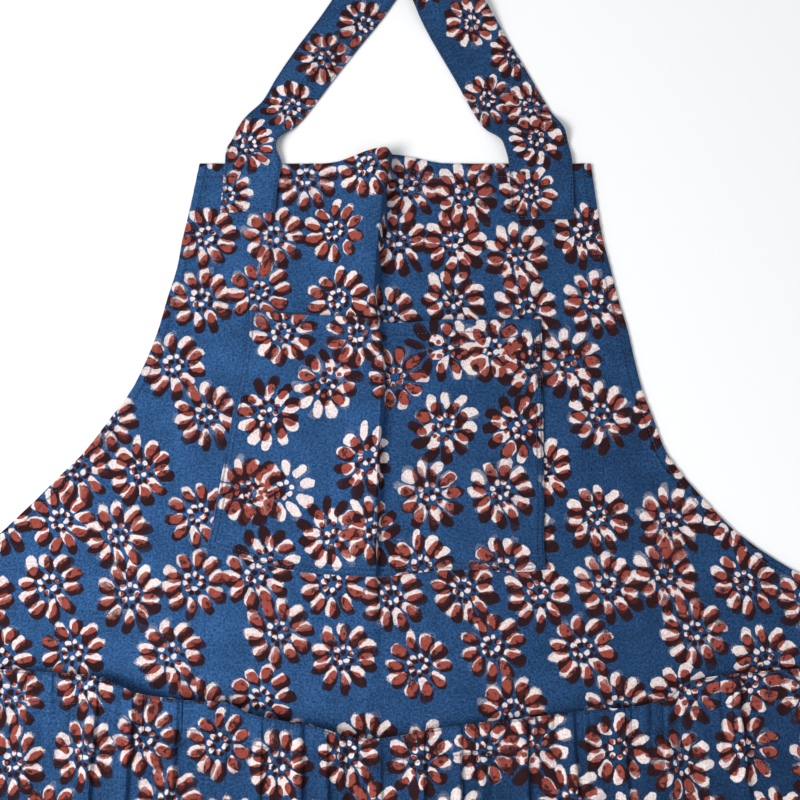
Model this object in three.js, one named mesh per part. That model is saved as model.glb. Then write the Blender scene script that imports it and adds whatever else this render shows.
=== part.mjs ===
// Gardening apron laid face up on a table, in millimetres, +Z up, bib towards +Y.
// Every cloth piece is a grid of points halfway through the cloth, thickened both ways along its normal.
import * as THREE from 'three';

// Cloth
const bodyCloth = 1.5;
const pocketCloth = 1.4;
const pocketHemCloth = 2.2;
const pouchCloth = 1.5;
const casingCloth = 2.4;
const strapCloth = 2.0;
const tieCloth = 1.5;
const seamGap = 0.4;

// Body panel
const bibHalf = 140;
const waistHalf = 322;
const hemFlare = 8;
const armDrop = 310;
const bodyLength = 800;
const hemCornerRound = 26;

// Centre crease of the bib
const ridgeHeight = 14;
const ridgeSpread = 42;
const ridgeDrop = 6;
const edgeRise = 7;
const edgeRiseSpread = 46;
const edgeRiseDepth = 60;

// Soft folds of the body
const foldWidth = 16;
const foldRise = 2;

// Bib pocket
const pocketTopLeft = -103.5;
const pocketTopRight = 101.5;
const pocketDown = 112;
const pocketHeight = 176;
const pocketFlare = 25;
const pocketHem = 10;
const pocketSlack = 7.5;

// Gathered pouch across the lower body
const pouchSideInset = 14;
const pouchHalf = waistHalf - pouchSideInset;
const pouchDown = 390;
const pouchCasing = 19;
const pouchInset = 14;
const pouchBelly = 15;
const pouchMouth = 9;
const gatherWidth = 10;
const gatherRise = 5;
const casingGroove = 2.2;

// Neck strap
const neckHeight = 180;
const leftSewn = 37;
const rightSewn = 42;
const turnRadius = 1.8;
const leftCurl = 6.5;
const kinkHeight = 5;

// Waist ties
const tieWidth = 25;
const tieDown = 318;
const tieSewn = 35;
const tieReach = 30;
const tieHang = 560;
const tieSettle = 42;
const tieSway = 5;
const tieWave = 3;

const indigo = 0x3b5f93;

// Small helpers
const hump = (t) => (Math.abs(t) >= 1 ? 0 : 0.5 * (1 + Math.cos(Math.PI * t)));
const ease = (t) => {
  const s = Math.min(1, Math.max(0, t));
  return s * s * (3 - 2 * s);
};
const mix = (a, b, t) => a + (b - a) * t;

// A smooth curve through the rows of a table, read by the column names "at" and "of"
function along(table, at, of, place) {
  const rows = table;
  const last = rows.length - 1;
  if (place <= rows[0][at]) return rows[0][of];
  if (place >= rows[last][at]) return rows[last][of];
  let k = 0;
  while (place > rows[k + 1][at]) k += 1;
  const width = rows[k + 1][at] - rows[k][at];
  const slopeAt = (i) => {
    const low = Math.max(0, i - 1);
    const high = Math.min(last, i + 1);
    return (rows[high][of] - rows[low][of]) / (rows[high][at] - rows[low][at]);
  };
  const t = (place - rows[k][at]) / width;
  const a = rows[k][of];
  const b = rows[k + 1][of];
  const ma = slopeAt(k) * width;
  const mb = slopeAt(k + 1) * width;
  const t2 = t * t;
  const t3 = t2 * t;
  return (2 * t3 - 3 * t2 + 1) * a + (t3 - 2 * t2 + t) * ma
    + (3 * t2 - 2 * t3) * b + (t3 - t2) * mb;
}

function named(columns, rows) {
  return rows.map((row) => Object.fromEntries(columns.map((name, i) => [name, row[i]])));
}

// Closed cloth from a grid of middle points and a thickness for each point
function clothGeometry(grid, thickness) {
  const rows = grid.length;
  const columns = grid[0].length;
  const points = [];
  const skins = [[], []];
  for (let r = 0; r < rows; r += 1) {
    for (let c = 0; c < columns; c += 1) {
      const across = new THREE.Vector3().subVectors(
        grid[r][Math.min(columns - 1, c + 1)],
        grid[r][Math.max(0, c - 1)],
      );
      const onward = new THREE.Vector3().subVectors(
        grid[Math.min(rows - 1, r + 1)][c],
        grid[Math.max(0, r - 1)][c],
      );
      const normal = new THREE.Vector3().crossVectors(across, onward).normalize();
      const half = thickness(r, c) / 2;
      skins.forEach((skin, side) => {
        const point = grid[r][c].clone().addScaledVector(normal, side === 0 ? half : -half);
        skin.push(points.length / 3);
        points.push(point.x, point.y, point.z);
      });
    }
  }
  const index = [];
  const quad = (a, b, c, d) => index.push(a, b, c, a, c, d);
  const at = (side, r, c) => skins[side][r * columns + c];
  for (let r = 0; r + 1 < rows; r += 1) {
    for (let c = 0; c + 1 < columns; c += 1) {
      quad(at(0, r, c), at(0, r, c + 1), at(0, r + 1, c + 1), at(0, r + 1, c));
      quad(at(1, r, c), at(1, r + 1, c), at(1, r + 1, c + 1), at(1, r, c + 1));
    }
  }
  for (let c = 0; c + 1 < columns; c += 1) {
    const end = rows - 1;
    quad(at(0, 0, c), at(1, 0, c), at(1, 0, c + 1), at(0, 0, c + 1));
    quad(at(0, end, c), at(0, end, c + 1), at(1, end, c + 1), at(1, end, c));
  }
  for (let r = 0; r + 1 < rows; r += 1) {
    const end = columns - 1;
    quad(at(0, r, 0), at(0, r + 1, 0), at(1, r + 1, 0), at(1, r, 0));
    quad(at(0, r, end), at(1, r, end), at(1, r + 1, end), at(0, r + 1, end));
  }
  const geometry = new THREE.BufferGeometry();
  geometry.setAttribute('position', new THREE.Float32BufferAttribute(points, 3));
  geometry.setIndex(index);
  geometry.computeVertexNormals();
  return geometry;
}

function piece(name, geometry, color) {
  const material = new THREE.MeshStandardMaterial({ color, roughness: 0.9, metalness: 0 });
  const mesh = new THREE.Mesh(geometry, material);
  mesh.name = name;
  return mesh;
}

// Armhole curves: share of the arm drop, then how far out each side has come by then
const armCurve = named(['down', 'left', 'right'], [
  [0.00, 0.000, -0.006],
  [0.11, 0.034, 0.016],
  [0.18, 0.058, 0.033],
  [0.25, 0.077, 0.060],
  [0.32, 0.110, 0.086],
  [0.39, 0.140, 0.118],
  [0.46, 0.181, 0.141],
  [0.53, 0.236, 0.168],
  [0.60, 0.319, 0.209],
  [0.67, 0.407, 0.251],
  [0.73, 0.505, 0.322],
  [0.77, 0.570, 0.380],
  [0.845, 0.700, 0.500],
  [0.92, 0.850, 0.680],
  [0.97, 0.965, 0.840],
  [1.00, 1.000, 0.950],
  [1.04, 1.000, 1.000],
  [1.10, 1.000, 1.000],
]);

// Centre crease: share of the body length, place across in shares of the bib half width, height share, drop width share
const creaseLine = named(['down', 'across', 'height', 'drop'], [
  [0.000, -0.050, 1.00, 1.0],
  [0.030, -0.062, 0.92, 1.0],
  [0.080, -0.095, 0.85, 1.1],
  [0.125, -0.112, 0.60, 1.4],
  [0.150, -0.105, 0.34, 2.2],
  [0.180, -0.062, 0.25, 2.6],
  [0.250, -0.085, 0.23, 2.6],
  [0.320, -0.100, 0.20, 2.6],
  [0.370, -0.105, 0.30, 2.2],
  [0.430, -0.110, 0.30, 2.2],
  [0.490, -0.112, 0.16, 2.4],
  [0.540, -0.112, 0.00, 2.6],
  [1.000, -0.112, 0.00, 2.6],
]);

// Soft folds of the body: ends in shares of the waist half width and the body length,
// width and height in shares of the fold width and fold rise
const bodyFolds = named(['fromX', 'fromY', 'toX', 'toY', 'width', 'height'], [
  [-0.096, 0.452, -0.093, 0.492, 0.44, 0.85],
  [-0.058, 0.455, -0.062, 0.492, 0.44, 0.85],
  [0.320, 0.062, 0.270, 0.130, 1.00, 1.10],
  [-0.310, 0.045, -0.285, 0.110, 0.94, 1.10],
  [-0.560, 0.290, -0.440, 0.400, 1.50, 1.50],
  [0.600, 0.320, 0.420, 0.410, 1.50, 1.50],
  [0.400, 0.190, 0.370, 0.300, 0.88, 0.80],
  [-0.455, 0.200, -0.430, 0.270, 0.75, 0.75],
]);

function creaseAt(y, column) {
  return along(creaseLine, 'down', column, -y / bodyLength);
}

function creaseX(y) {
  return creaseAt(y, 'across') * bibHalf;
}

function ridge(x, y) {
  const away = x - creaseX(y);
  const height = ridgeHeight * Math.max(0, creaseAt(y, 'height'));
  const width = away < 0 ? ridgeSpread : ridgeDrop * creaseAt(y, 'drop');
  return height * hump(away / width);
}

function foldHeight(x, y) {
  let height = 0;
  for (const fold of bodyFolds) {
    const ax = fold.fromX * waistHalf;
    const ay = -fold.fromY * bodyLength;
    const bx = fold.toX * waistHalf;
    const by = -fold.toY * bodyLength;
    const span = Math.hypot(bx - ax, by - ay);
    const t = ((x - ax) * (bx - ax) + (y - ay) * (by - ay)) / (span * span);
    const side = ((x - ax) * (by - ay) - (y - ay) * (bx - ax)) / span;
    height += foldRise * fold.height * hump(side / (foldWidth * fold.width)) * hump(2 * t - 1);
  }
  return height;
}

// Height of the middle of the body cloth
function bodyHeight(x, y) {
  return bodyCloth / 2 + ridge(x, y) + foldHeight(x, y);
}

// Height above the body where a cloth lying on it has its middle, so that the gap square to the body is kept
function overBody(x, y, cloth) {
  const step = 1;
  const slopeX = (bodyHeight(x + step, y) - bodyHeight(x - step, y)) / (2 * step);
  const slopeY = (bodyHeight(x, y + step) - bodyHeight(x, y - step)) / (2 * step);
  const lean = Math.sqrt(1 + slopeX * slopeX + slopeY * slopeY);
  return bodyHeight(x, y) + (bodyCloth / 2 + seamGap + cloth / 2) * lean;
}

function bodySide(y, side) {
  const out = along(armCurve, 'down', side, -y / armDrop);
  const flare = hemFlare * ease((-y - armDrop) / (bodyLength - armDrop));
  return mix(bibHalf, waistHalf, out) + flare;
}

// Columns that crowd round the crease, their distances from it in shares of the ridge spread
const nearCrease = [-1, -0.71, -0.48, -0.29, -0.14, -0.06, 0, 0.048, 0.095, 0.155, 0.24, 0.38, 0.62];

function columnsAcross(left, right, crease, leftCount, rightCount) {
  const places = [];
  const first = crease + nearCrease[0] * ridgeSpread;
  const last = crease + nearCrease[nearCrease.length - 1] * ridgeSpread;
  for (let i = 0; i < leftCount; i += 1) places.push(mix(left, first, i / leftCount));
  for (const away of nearCrease) places.push(crease + away * ridgeSpread);
  for (let i = 1; i <= rightCount; i += 1) places.push(mix(last, right, i / rightCount));
  return places;
}

function bodyPanel() {
  const rowPlaces = [];
  for (let i = 0; i <= 21; i += 1) rowPlaces.push(-armDrop * 1.06 * (i / 21));
  const lowerStart = -rowPlaces[rowPlaces.length - 1];
  for (let i = 1; i <= 8; i += 1) rowPlaces.push(-mix(lowerStart, bodyLength * 0.56, i / 8));
  for (let i = 1; i <= 4; i += 1) {
    rowPlaces.push(-mix(bodyLength * 0.56, bodyLength - hemCornerRound, i / 4));
  }
  for (const share of [0.4, 0.78, 1]) {
    rowPlaces.push(-(bodyLength - hemCornerRound * (1 - share)));
  }
  const grid = rowPlaces.map((y) => {
    const intoCorner = Math.max(0, -y - (bodyLength - hemCornerRound));
    const cut = hemCornerRound - Math.sqrt(hemCornerRound ** 2 - intoCorner ** 2 * 0.92);
    const left = -bodySide(y, 'left') + cut;
    const right = bodySide(y, 'right') - cut;
    return columnsAcross(left, right, creaseX(y), 6, 6).map((x) => {
      const lift = edgeRise * hump((x - creaseX(y)) / edgeRiseSpread) * ease(1 + y / edgeRiseDepth);
      return new THREE.Vector3(x, y + lift, bodyHeight(x, y));
    });
  });
  return clothGeometry(grid, () => bodyCloth);
}

// Bib pocket edges: share across, how far the top dips and the bottom sags, in shares of the pocket height
const pocketEdges = named(['across', 'top', 'bottom'], [
  [0.00, -0.024, 0.916],
  [0.08, -0.014, 0.945],
  [0.16, -0.003, 0.975],
  [0.27, 0.004, 1.005],
  [0.40, 0.022, 1.020],
  [0.52, 0.034, 1.026],
  [0.66, 0.020, 1.004],
  [0.80, 0.020, 0.998],
  [0.90, 0.016, 1.010],
  [1.00, 0.013, 0.998],
]);
const pocketSides = named(['down', 'left', 'right'], [
  [0.00, 0.00, 0.00],
  [0.15, 0.05, 0.00],
  [0.45, 0.35, -0.01],
  [0.80, 0.72, -0.02],
  [0.93, 0.86, -0.04],
  [1.00, 1.00, 0.02],
]);

function pocketLift(across, down) {
  const sideways = Math.pow(Math.max(0, Math.sin(Math.PI * across)), 0.55);
  const mouth = mix(0.80, 1, ease(down / 0.3));
  const bottom = Math.pow(Math.max(0, 1 - Math.pow(down, 3.2)), 0.8);
  return pocketSlack * sideways * mouth * bottom;
}

function bibPocket() {
  const hemRows = [0, pocketHem / pocketHeight - 0.002, pocketHem / pocketHeight + 0.006];
  const rowShares = [...hemRows, 0.14, 0.26, 0.38, 0.5, 0.62, 0.74, 0.84, 0.92, 0.97, 1];
  const grid = rowShares.map((down) => {
    const y0 = -(pocketDown + pocketHeight * down);
    const left = pocketTopLeft - pocketFlare * along(pocketSides, 'down', 'left', down);
    const right = pocketTopRight + pocketFlare * along(pocketSides, 'down', 'right', down);
    return columnsAcross(left, right, creaseX(y0), 4, 4).map((x) => {
      const across = (x - left) / (right - left);
      const top = along(pocketEdges, 'across', 'top', across);
      const bottom = along(pocketEdges, 'across', 'bottom', across);
      const y = -(pocketDown + pocketHeight * mix(top, bottom, down));
      return new THREE.Vector3(x, y, overBody(x, y, pocketHemCloth) + pocketLift(across, down));
    });
  });
  return clothGeometry(grid, (r) => (r < 2 ? pocketHemCloth : pocketCloth));
}

// Upper edge of the pouch: place across and drop below the pouch's height line, in shares of its half width
const pouchEdge = named(['across', 'drop'], [
  [-1.00, -0.123],
  [-0.82, -0.117],
  [-0.64, -0.104],
  [-0.60, -0.091],
  [-0.56, -0.071],
  [-0.46, -0.055],
  [-0.36, -0.049],
  [-0.31, -0.026],
  [-0.25, -0.013],
  [-0.16, 0.003],
  [-0.11, 0.019],
  [-0.05, 0.026],
  [0.01, 0.019],
  [0.08, 0.006],
  [0.16, -0.006],
  [0.27, -0.016],
  [0.35, -0.026],
  [0.44, -0.036],
  [0.50, -0.039],
  [0.57, -0.055],
  [0.60, -0.075],
  [0.64, -0.097],
  [0.82, -0.117],
  [1.00, -0.123],
]);

// Gathers of the pouch: place at the edge and drift by the foot in shares of the half width,
// width and height in shares of the gather width and gather rise, length in shares of the pouch depth
const gathers = named(['across', 'drift', 'width', 'height', 'length'], [
  [-0.900, -0.020, 1.10, 0.80, 0.45],
  [-0.770, 0.015, 1.20, 1.00, 0.58],
  [-0.655, -0.030, 1.10, 1.10, 0.60],
  [-0.575, -0.060, 1.00, 1.20, 0.42],
  [-0.480, -0.070, 1.10, 1.10, 0.52],
  [-0.385, 0.020, 1.00, 0.80, 0.40],
  [-0.300, -0.020, 1.00, 0.90, 0.55],
  [-0.212, 0.000, 0.85, 1.30, 0.74],
  [-0.155, 0.010, 0.70, 1.10, 0.44],
  [-0.108, 0.020, 0.70, 1.00, 0.38],
  [-0.045, 0.010, 1.00, 0.80, 0.50],
  [0.045, -0.015, 1.00, 1.00, 0.62],
  [0.125, -0.020, 0.90, 1.30, 0.38],
  [0.195, -0.050, 0.90, 1.10, 0.50],
  [0.265, 0.000, 0.90, 1.20, 0.70],
  [0.365, 0.010, 1.00, 1.20, 0.50],
  [0.470, 0.020, 1.10, 0.90, 0.42],
  [0.590, 0.010, 1.10, 1.00, 0.62],
  [0.720, 0.020, 1.20, 1.00, 0.45],
  [0.880, -0.010, 1.10, 0.80, 0.42],
]);

const pouchDepth = bodyLength - pouchInset - pouchDown;

function gatherStrength(length, down) {
  const start = mix(0.55, 1, ease(down / 0.1));
  const fade = 1 - ease((down - length * 0.35) / (length * 0.65));
  return start * fade;
}

function pouchLift(share, down) {
  const sideways = Math.pow(Math.max(0, 1 - Math.pow(Math.abs(share), 5)), 0.8);
  const belly = mix(pouchMouth, pouchBelly, ease(down / 0.3));
  const bottom = Math.pow(Math.max(0, 1 - Math.pow(down, 4)), 0.75);
  return belly * sideways * bottom;
}

function harvestPouch() {
  const columns = [{ across: -1, drift: 0, height: 0, length: 0.5 }];
  for (const fold of gathers) {
    for (const side of [-1, -0.5, 0, 0.5]) {
      columns.push({
        across: fold.across + (side * fold.width * gatherWidth) / pouchHalf,
        drift: fold.drift,
        height: gatherRise * fold.height * hump(side),
        length: fold.length,
      });
    }
  }
  columns.push({ across: 1, drift: 0, height: 0, length: 0.5 });
  const casing = pouchCasing / pouchDepth;
  const rowShares = [0, casing * 0.5, casing - 0.004, casing + 0.012, 0.11, 0.18, 0.27, 0.37, 0.49,
    0.62, 0.75, 0.87, 0.955, 1];
  const grid = rowShares.map((down) => columns.map((column) => {
    const share = column.across + column.drift * ease(down * 1.4);
    const x = share * (pouchHalf + hemFlare * ease(down));
    const start = -(pouchDown + pouchHalf * along(pouchEdge, 'across', 'drop', column.across));
    const y = mix(start, -(bodyLength - pouchInset), down);
    const groove = casingGroove * hump((down - casing) / 0.035);
    const fold = column.height * gatherStrength(column.length, down);
    const lift = pouchLift(column.across, down);
    const room = Math.min(1, lift / gatherRise);
    return new THREE.Vector3(x, y, overBody(x, y, casingCloth) + lift + (fold - groove) * room);
  }));
  return clothGeometry(grid, (r) => (r < 3 ? casingCloth : pouchCloth));
}

// Legs of the neck strap: height and both edges in shares of the rise above the bib
const leftLeg = named(['up', 'left', 'right'], [
  [-0.21, -0.690, -0.474],
  [-0.10, -0.684, -0.466],
  [0.00, -0.676, -0.452],
  [0.06, -0.672, -0.474],
  [0.10, -0.652, -0.464],
  [0.14, -0.628, -0.414],
  [0.18, -0.600, -0.374],
  [0.226, -0.564, -0.340],
  [0.268, -0.528, -0.309],
  [0.353, -0.482, -0.250],
  [0.482, -0.402, -0.155],
  [0.611, -0.313, -0.057],
  [0.698, -0.258, 0.001],
  [0.83, -0.176, 0.090],
  [1.00, -0.080, 0.196],
]);
const rightLeg = named(['up', 'left', 'right'], [
  [-0.233, 0.452, 0.700],
  [0.00, 0.446, 0.698],
  [0.058, 0.430, 0.690],
  [0.10, 0.412, 0.680],
  [0.142, 0.358, 0.666],
  [0.184, 0.326, 0.638],
  [0.268, 0.280, 0.590],
  [0.353, 0.237, 0.544],
  [0.482, 0.166, 0.474],
  [0.611, 0.098, 0.402],
  [0.698, 0.062, 0.352],
  [0.83, 0.004, 0.276],
  [1.00, -0.080, 0.196],
]);

// Rows of the two legs between the bib and the turn, in shares of the rise
const leftRows = [0.022, 0.05, 0.078, 0.106, 0.133, 0.161, 0.194, 0.244, 0.311, 0.39, 0.478, 0.578, 0.694, 0.833];
const rightRows = [0.833, 0.733, 0.656, 0.583, 0.51, 0.41, 0.311, 0.233, 0.183, 0.15, 0.117, 0.089, 0.061, 0.033, 0];

function neckStrap() {
  const acrossShares = [0, 0.14, 0.32, 0.5, 0.68, 0.86, 1];
  const onTable = strapCloth / 2;
  const onBib = bodyCloth + seamGap + strapCloth / 2;
  const onFold = onTable + 2 * turnRadius;
  const grid = [];
  const leg = (table, up, height, out = 0) => {
    const left = along(table, 'up', 'left', up) * neckHeight;
    const right = along(table, 'up', 'right', up) * neckHeight;
    const y = up * neckHeight + out;
    grid.push(acrossShares.map((a) => new THREE.Vector3(mix(left, right, a), y, height(a, up))));
  };
  const offBib = (up) => mix(onBib, onTable, ease((up - 0.022) / 0.078));
  const leftHeight = (a, up) => {
    const kink = kinkHeight * hump((up - 0.133 + 0.078 * (a - 0.5)) / 0.083);
    const curl = leftCurl * hump((up - 0.417) / 0.344) * hump((a - 0.45) / 0.55);
    return offBib(up) + kink + curl;
  };
  const rightHeight = (a, up) => {
    const kink = kinkHeight * hump((up - 0.111 - 0.067 * (a - 0.5)) / 0.078);
    const climb = (onFold - onTable) * ease((up - 0.51) / 0.2);
    return offBib(up) + kink + climb;
  };
  for (const up of [-leftSewn / neckHeight, -0.13, -0.067, -0.011, ...leftRows]) leg(leftLeg, up, leftHeight);
  for (let i = 0; i <= 5; i += 1) {
    const turn = -Math.PI / 2 + (Math.PI * i) / 5;
    leg(leftLeg, 1, () => onTable + turnRadius + turnRadius * Math.sin(turn), turnRadius * Math.cos(turn));
  }
  for (const up of [...rightRows, -0.078, -0.156, -rightSewn / neckHeight]) leg(rightLeg, up, rightHeight);
  return clothGeometry(grid, () => strapCloth);
}

// One waist tie: sewn on the front of the side corner, laid out sideways, turned flat and laid down
function waistTie(side) {
  const top = -tieDown;
  const low = -(tieDown + tieWidth);
  const edge = waistHalf;
  const inner = edge + tieReach - tieWidth / 2;
  const outer = edge + tieReach + tieWidth / 2;
  const onTable = tieCloth / 2;
  const onBody = bodyCloth + seamGap + tieCloth / 2;
  const onFold = onTable + 2 * turnRadius;
  const rows = [];
  const row = (ux, uy, dx, dy, height) => rows.push([ux, uy, dx, dy, height]);
  row(edge - tieSewn, top, edge - tieSewn, low, onBody);
  row(edge - tieSewn / 2, top, edge - tieSewn / 2, low, onBody);
  row(edge + tieWidth * 0.16, top, edge + tieWidth * 0.16, low, onBody);
  row(edge + tieWidth * 0.32, top, edge + tieWidth * 0.48, low, mix(onBody, onTable, 0.6));
  row(edge + tieWidth * 0.48, top, edge + tieWidth * 0.88, low, onTable);
  for (let i = 0; i <= 5; i += 1) {
    const turn = -Math.PI / 2 + (Math.PI * i) / 5;
    const out = turnRadius * Math.cos(turn) * Math.SQRT1_2;
    const height = onTable + turnRadius + turnRadius * Math.sin(turn);
    row(inner + out, top + out, outer + out, low + out, height);
  }
  row(inner, top - tieWidth * 0.56, outer, low - tieWidth * 0.32, onFold);
  row(inner, low - tieWidth * 0.32, outer, low - tieWidth * 0.56, onFold);
  row(inner, low - tieWidth * 0.96, outer, low - tieWidth * 1.04, mix(onTable, onFold, 0.4));
  row(inner, low - tieSettle, outer, low - tieSettle, onTable);
  for (let i = 1; i <= 9; i += 1) {
    const y = mix(low - tieSettle, low - tieHang, i / 9);
    const sway = tieSway * Math.sin((i / 9) * 5.2) * ease(i / 3);
    const wave = tieWave * (hump((i - 4) / 2.2) + 0.7 * hump((i - 7) / 1.6));
    row(inner + sway, y, outer + sway, y, onTable + wave);
  }
  const grid = rows.map(([ux, uy, dx, dy, height]) => [0, 1 / 3, 2 / 3, 1].map((a) => (
    new THREE.Vector3(side * mix(ux, dx, a), mix(uy, dy, a), height)
  )));
  if (side < 0) grid.forEach((points) => points.reverse());
  return clothGeometry(grid, () => tieCloth);
}

const meshes = [
  piece('body_panel', bodyPanel(), indigo),
  piece('bib_pocket', bibPocket(), indigo),
  piece('harvest_pouch', harvestPouch(), indigo),
  piece('neck_strap', neckStrap(), indigo),
  piece('waist_tie_left', waistTie(-1), indigo),
  piece('waist_tie_right', waistTie(1), indigo),
];

// The origin is under the middle of the laid apron
const bounds = new THREE.Box3();
for (const mesh of meshes) {
  mesh.geometry.computeBoundingBox();
  bounds.union(mesh.geometry.boundingBox);
}
const middle = bounds.getCenter(new THREE.Vector3());
const apron = new THREE.Group();
apron.name = 'gardening_apron';
for (const mesh of meshes) {
  mesh.geometry.translate(-middle.x, -middle.y, -bounds.min.z);
  apron.add(mesh);
}

export default apron;
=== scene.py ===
"""Gardening apron of block-printed cotton, laid face up on a pale table."""
import math

import bpy
import numpy as np
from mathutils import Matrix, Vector
from mathutils.bvhtree import BVHTree


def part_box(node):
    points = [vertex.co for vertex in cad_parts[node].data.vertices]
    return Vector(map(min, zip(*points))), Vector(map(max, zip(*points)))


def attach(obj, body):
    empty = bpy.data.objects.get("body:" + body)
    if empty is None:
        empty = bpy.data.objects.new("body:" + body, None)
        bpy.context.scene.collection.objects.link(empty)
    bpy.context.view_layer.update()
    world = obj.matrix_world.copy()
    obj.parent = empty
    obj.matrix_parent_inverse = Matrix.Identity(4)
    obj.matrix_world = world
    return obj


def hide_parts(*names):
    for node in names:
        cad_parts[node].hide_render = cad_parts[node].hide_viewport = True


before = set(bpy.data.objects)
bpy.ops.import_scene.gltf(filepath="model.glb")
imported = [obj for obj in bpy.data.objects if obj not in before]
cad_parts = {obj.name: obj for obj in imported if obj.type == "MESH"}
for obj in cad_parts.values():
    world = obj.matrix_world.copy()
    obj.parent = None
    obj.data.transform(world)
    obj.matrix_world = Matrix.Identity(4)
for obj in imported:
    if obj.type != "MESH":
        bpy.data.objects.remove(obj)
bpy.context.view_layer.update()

# The table, the light and the camera.
# The apron lies on a plain pale table. A broad soft light stands on the left, as from a window, and the
# room fills the rest. The camera looks down at the bib, leaning ten degrees towards the hem.
MM = 0.001
BODY_LENGTH = 800.0
BIB_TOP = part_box("body_panel")[0].y / MM + BODY_LENGTH


def added(name, data):
    """An object with the given data, in the scene."""
    item = bpy.data.objects.new(name, data)
    bpy.context.collection.objects.link(item)
    return item


def plain_material(name, color, roughness):
    material = bpy.data.materials.new(name)
    material.use_nodes = True
    shader = material.node_tree.nodes["Principled BSDF"]
    shader.inputs["Base Color"].default_value = (*color, 1)
    shader.inputs["Roughness"].default_value = roughness
    return material


def lay_table():
    half = 4.0
    drop = -0.0004
    mesh = bpy.data.meshes.new("table_top")
    corners = [(-half, -half, drop), (half, -half, drop), (half, half, drop), (-half, half, drop)]
    mesh.from_pydata(corners, [], [(0, 1, 2, 3)])
    mesh.materials.append(plain_material("pale_table", (0.79, 0.79, 0.795), 0.75))
    added("table_top", mesh)


def soft_light(name, place, target, size, power, color):
    lamp = bpy.data.lights.new(name, "AREA")
    lamp.shape = "DISK"
    lamp.size = size
    lamp.energy = power
    lamp.color = color
    holder = added(name, lamp)
    holder.location = place
    holder.rotation_euler = (Vector(target) - Vector(place)).to_track_quat("-Z", "Y").to_euler()


def fill_the_room(strength):
    world = bpy.data.worlds.new("pale_room")
    bpy.context.scene.world = world
    world.use_nodes = True
    room = world.node_tree.nodes["Background"]
    room.inputs["Color"].default_value = (0.94, 0.97, 1.0, 1)
    room.inputs["Strength"].default_value = strength


def set_up_camera():
    aim = Vector((2.9, BIB_TOP - 171.0, 0)) * MM
    distance = 0.9225
    elevation = math.radians(80)
    lens = bpy.data.cameras.new("camera")
    lens.lens = 60
    lens.sensor_width = 36
    lens.clip_start = 0.01
    camera = added("camera", lens)
    away = Vector((0, -math.cos(elevation), math.sin(elevation)))
    camera.location = aim + away * distance
    camera.rotation_mode = "QUATERNION"
    camera.rotation_quaternion = (-away).to_track_quat("-Z", "Y")
    bpy.context.scene.camera = camera


bpy.context.scene.view_settings.view_transform = "Standard"
lay_table()
soft_light("window_light", place=(-1.15, -0.30, 1.30), target=(0.0, 0.12, 0), size=0.9, power=34,
           color=(1.0, 0.98, 0.95))
fill_the_room(strength=0.70)
set_up_camera()

# The printed cotton.
# A hand block lays ragged white daisies on the indigo ground, and a second block of the same cut lays
# rust over them, always a little off: rust on white stays rust, and on indigo it dries dark brown.
BLOOM_REACH = 25.0
BLOOM_JITTER = 2.5
BLOOM_SEED = 1000
FACES_AT_ONCE = 20000
SETS = ("a", "b", "c")
YARN_PITCH = 0.62
WHITE_TRIM = 0.88
RUST_TRIM = 0.99
RUST_RAGGED = 0.05

# Each ring of a bloom: how many cuts, their distance from the middle, half their length, half their width.
PETALS = (10, 16.0, 6.7, 3.9)
DOTS = (7, 5.4, 2.0, 1.9)


def table(names, *rows):
    """The columns of a short table, by name."""
    return dict(zip(names.split(), np.array(rows, dtype=float).T))


def print_chart(across, down, blooms, size=1.0):
    """One repeat of the print, with its blooms sorted so that those which touch are in different sets."""
    x, y = blooms["across"], blooms["down"]
    chosen = []
    for i in range(len(x)):
        clear = []
        for k in range(len(SETS)):
            nearest = 1000.0
            for j in range(i):
                if chosen[j] == k:
                    dx = (x[i] - x[j] + across / 2) % across - across / 2
                    dy = (y[i] - y[j] + down / 2) % down - down / 2
                    nearest = min(nearest, math.hypot(dx, dy))
            clear.append(nearest)
        chosen.append(int(np.argmax([min(c, 2 * BLOOM_REACH) - 0.01 * k for k, c in enumerate(clear)])))
    return {"across": across, "down": down, "blooms": blooms, "sets": np.array(chosen), "size": size}


# One repeat, charted: places in millimetres, and turns as shares of a full turn.
MAIN_CHART = print_chart(280.0, 198.0, table(
    "across down turn",
    (-137, 52, 0.02),
    (-90, 52, 0.06),
    (-45, 49, 0.00),
    (-66, 12, 0.11),
    (-22, 6, 0.04),
    (20, 13, 0.21),
    (60, 20, 0.16),
    (8, 57, 0.08),
    (50, 54, 0.13),
    (92, 63, 0.19),
    (104, 20, 0.07),
    (-96, 93, 0.03),
    (-137, 100, 0.12),
    (-44, 97, 0.00),
    (46, 99, 0.17),
    (98, 104, 0.10),
    (0, 108, 0.05),
    (-78, 132, 0.22),
    (-34, 146, 0.09),
    (14, 150, 0.15),
    (64, 142, 0.01),
    (126, 143, 0.18),
    (-90, 174, 0.14),
    (-132, 180, 0.20),
    (78, 182, 0.06),
))


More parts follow.
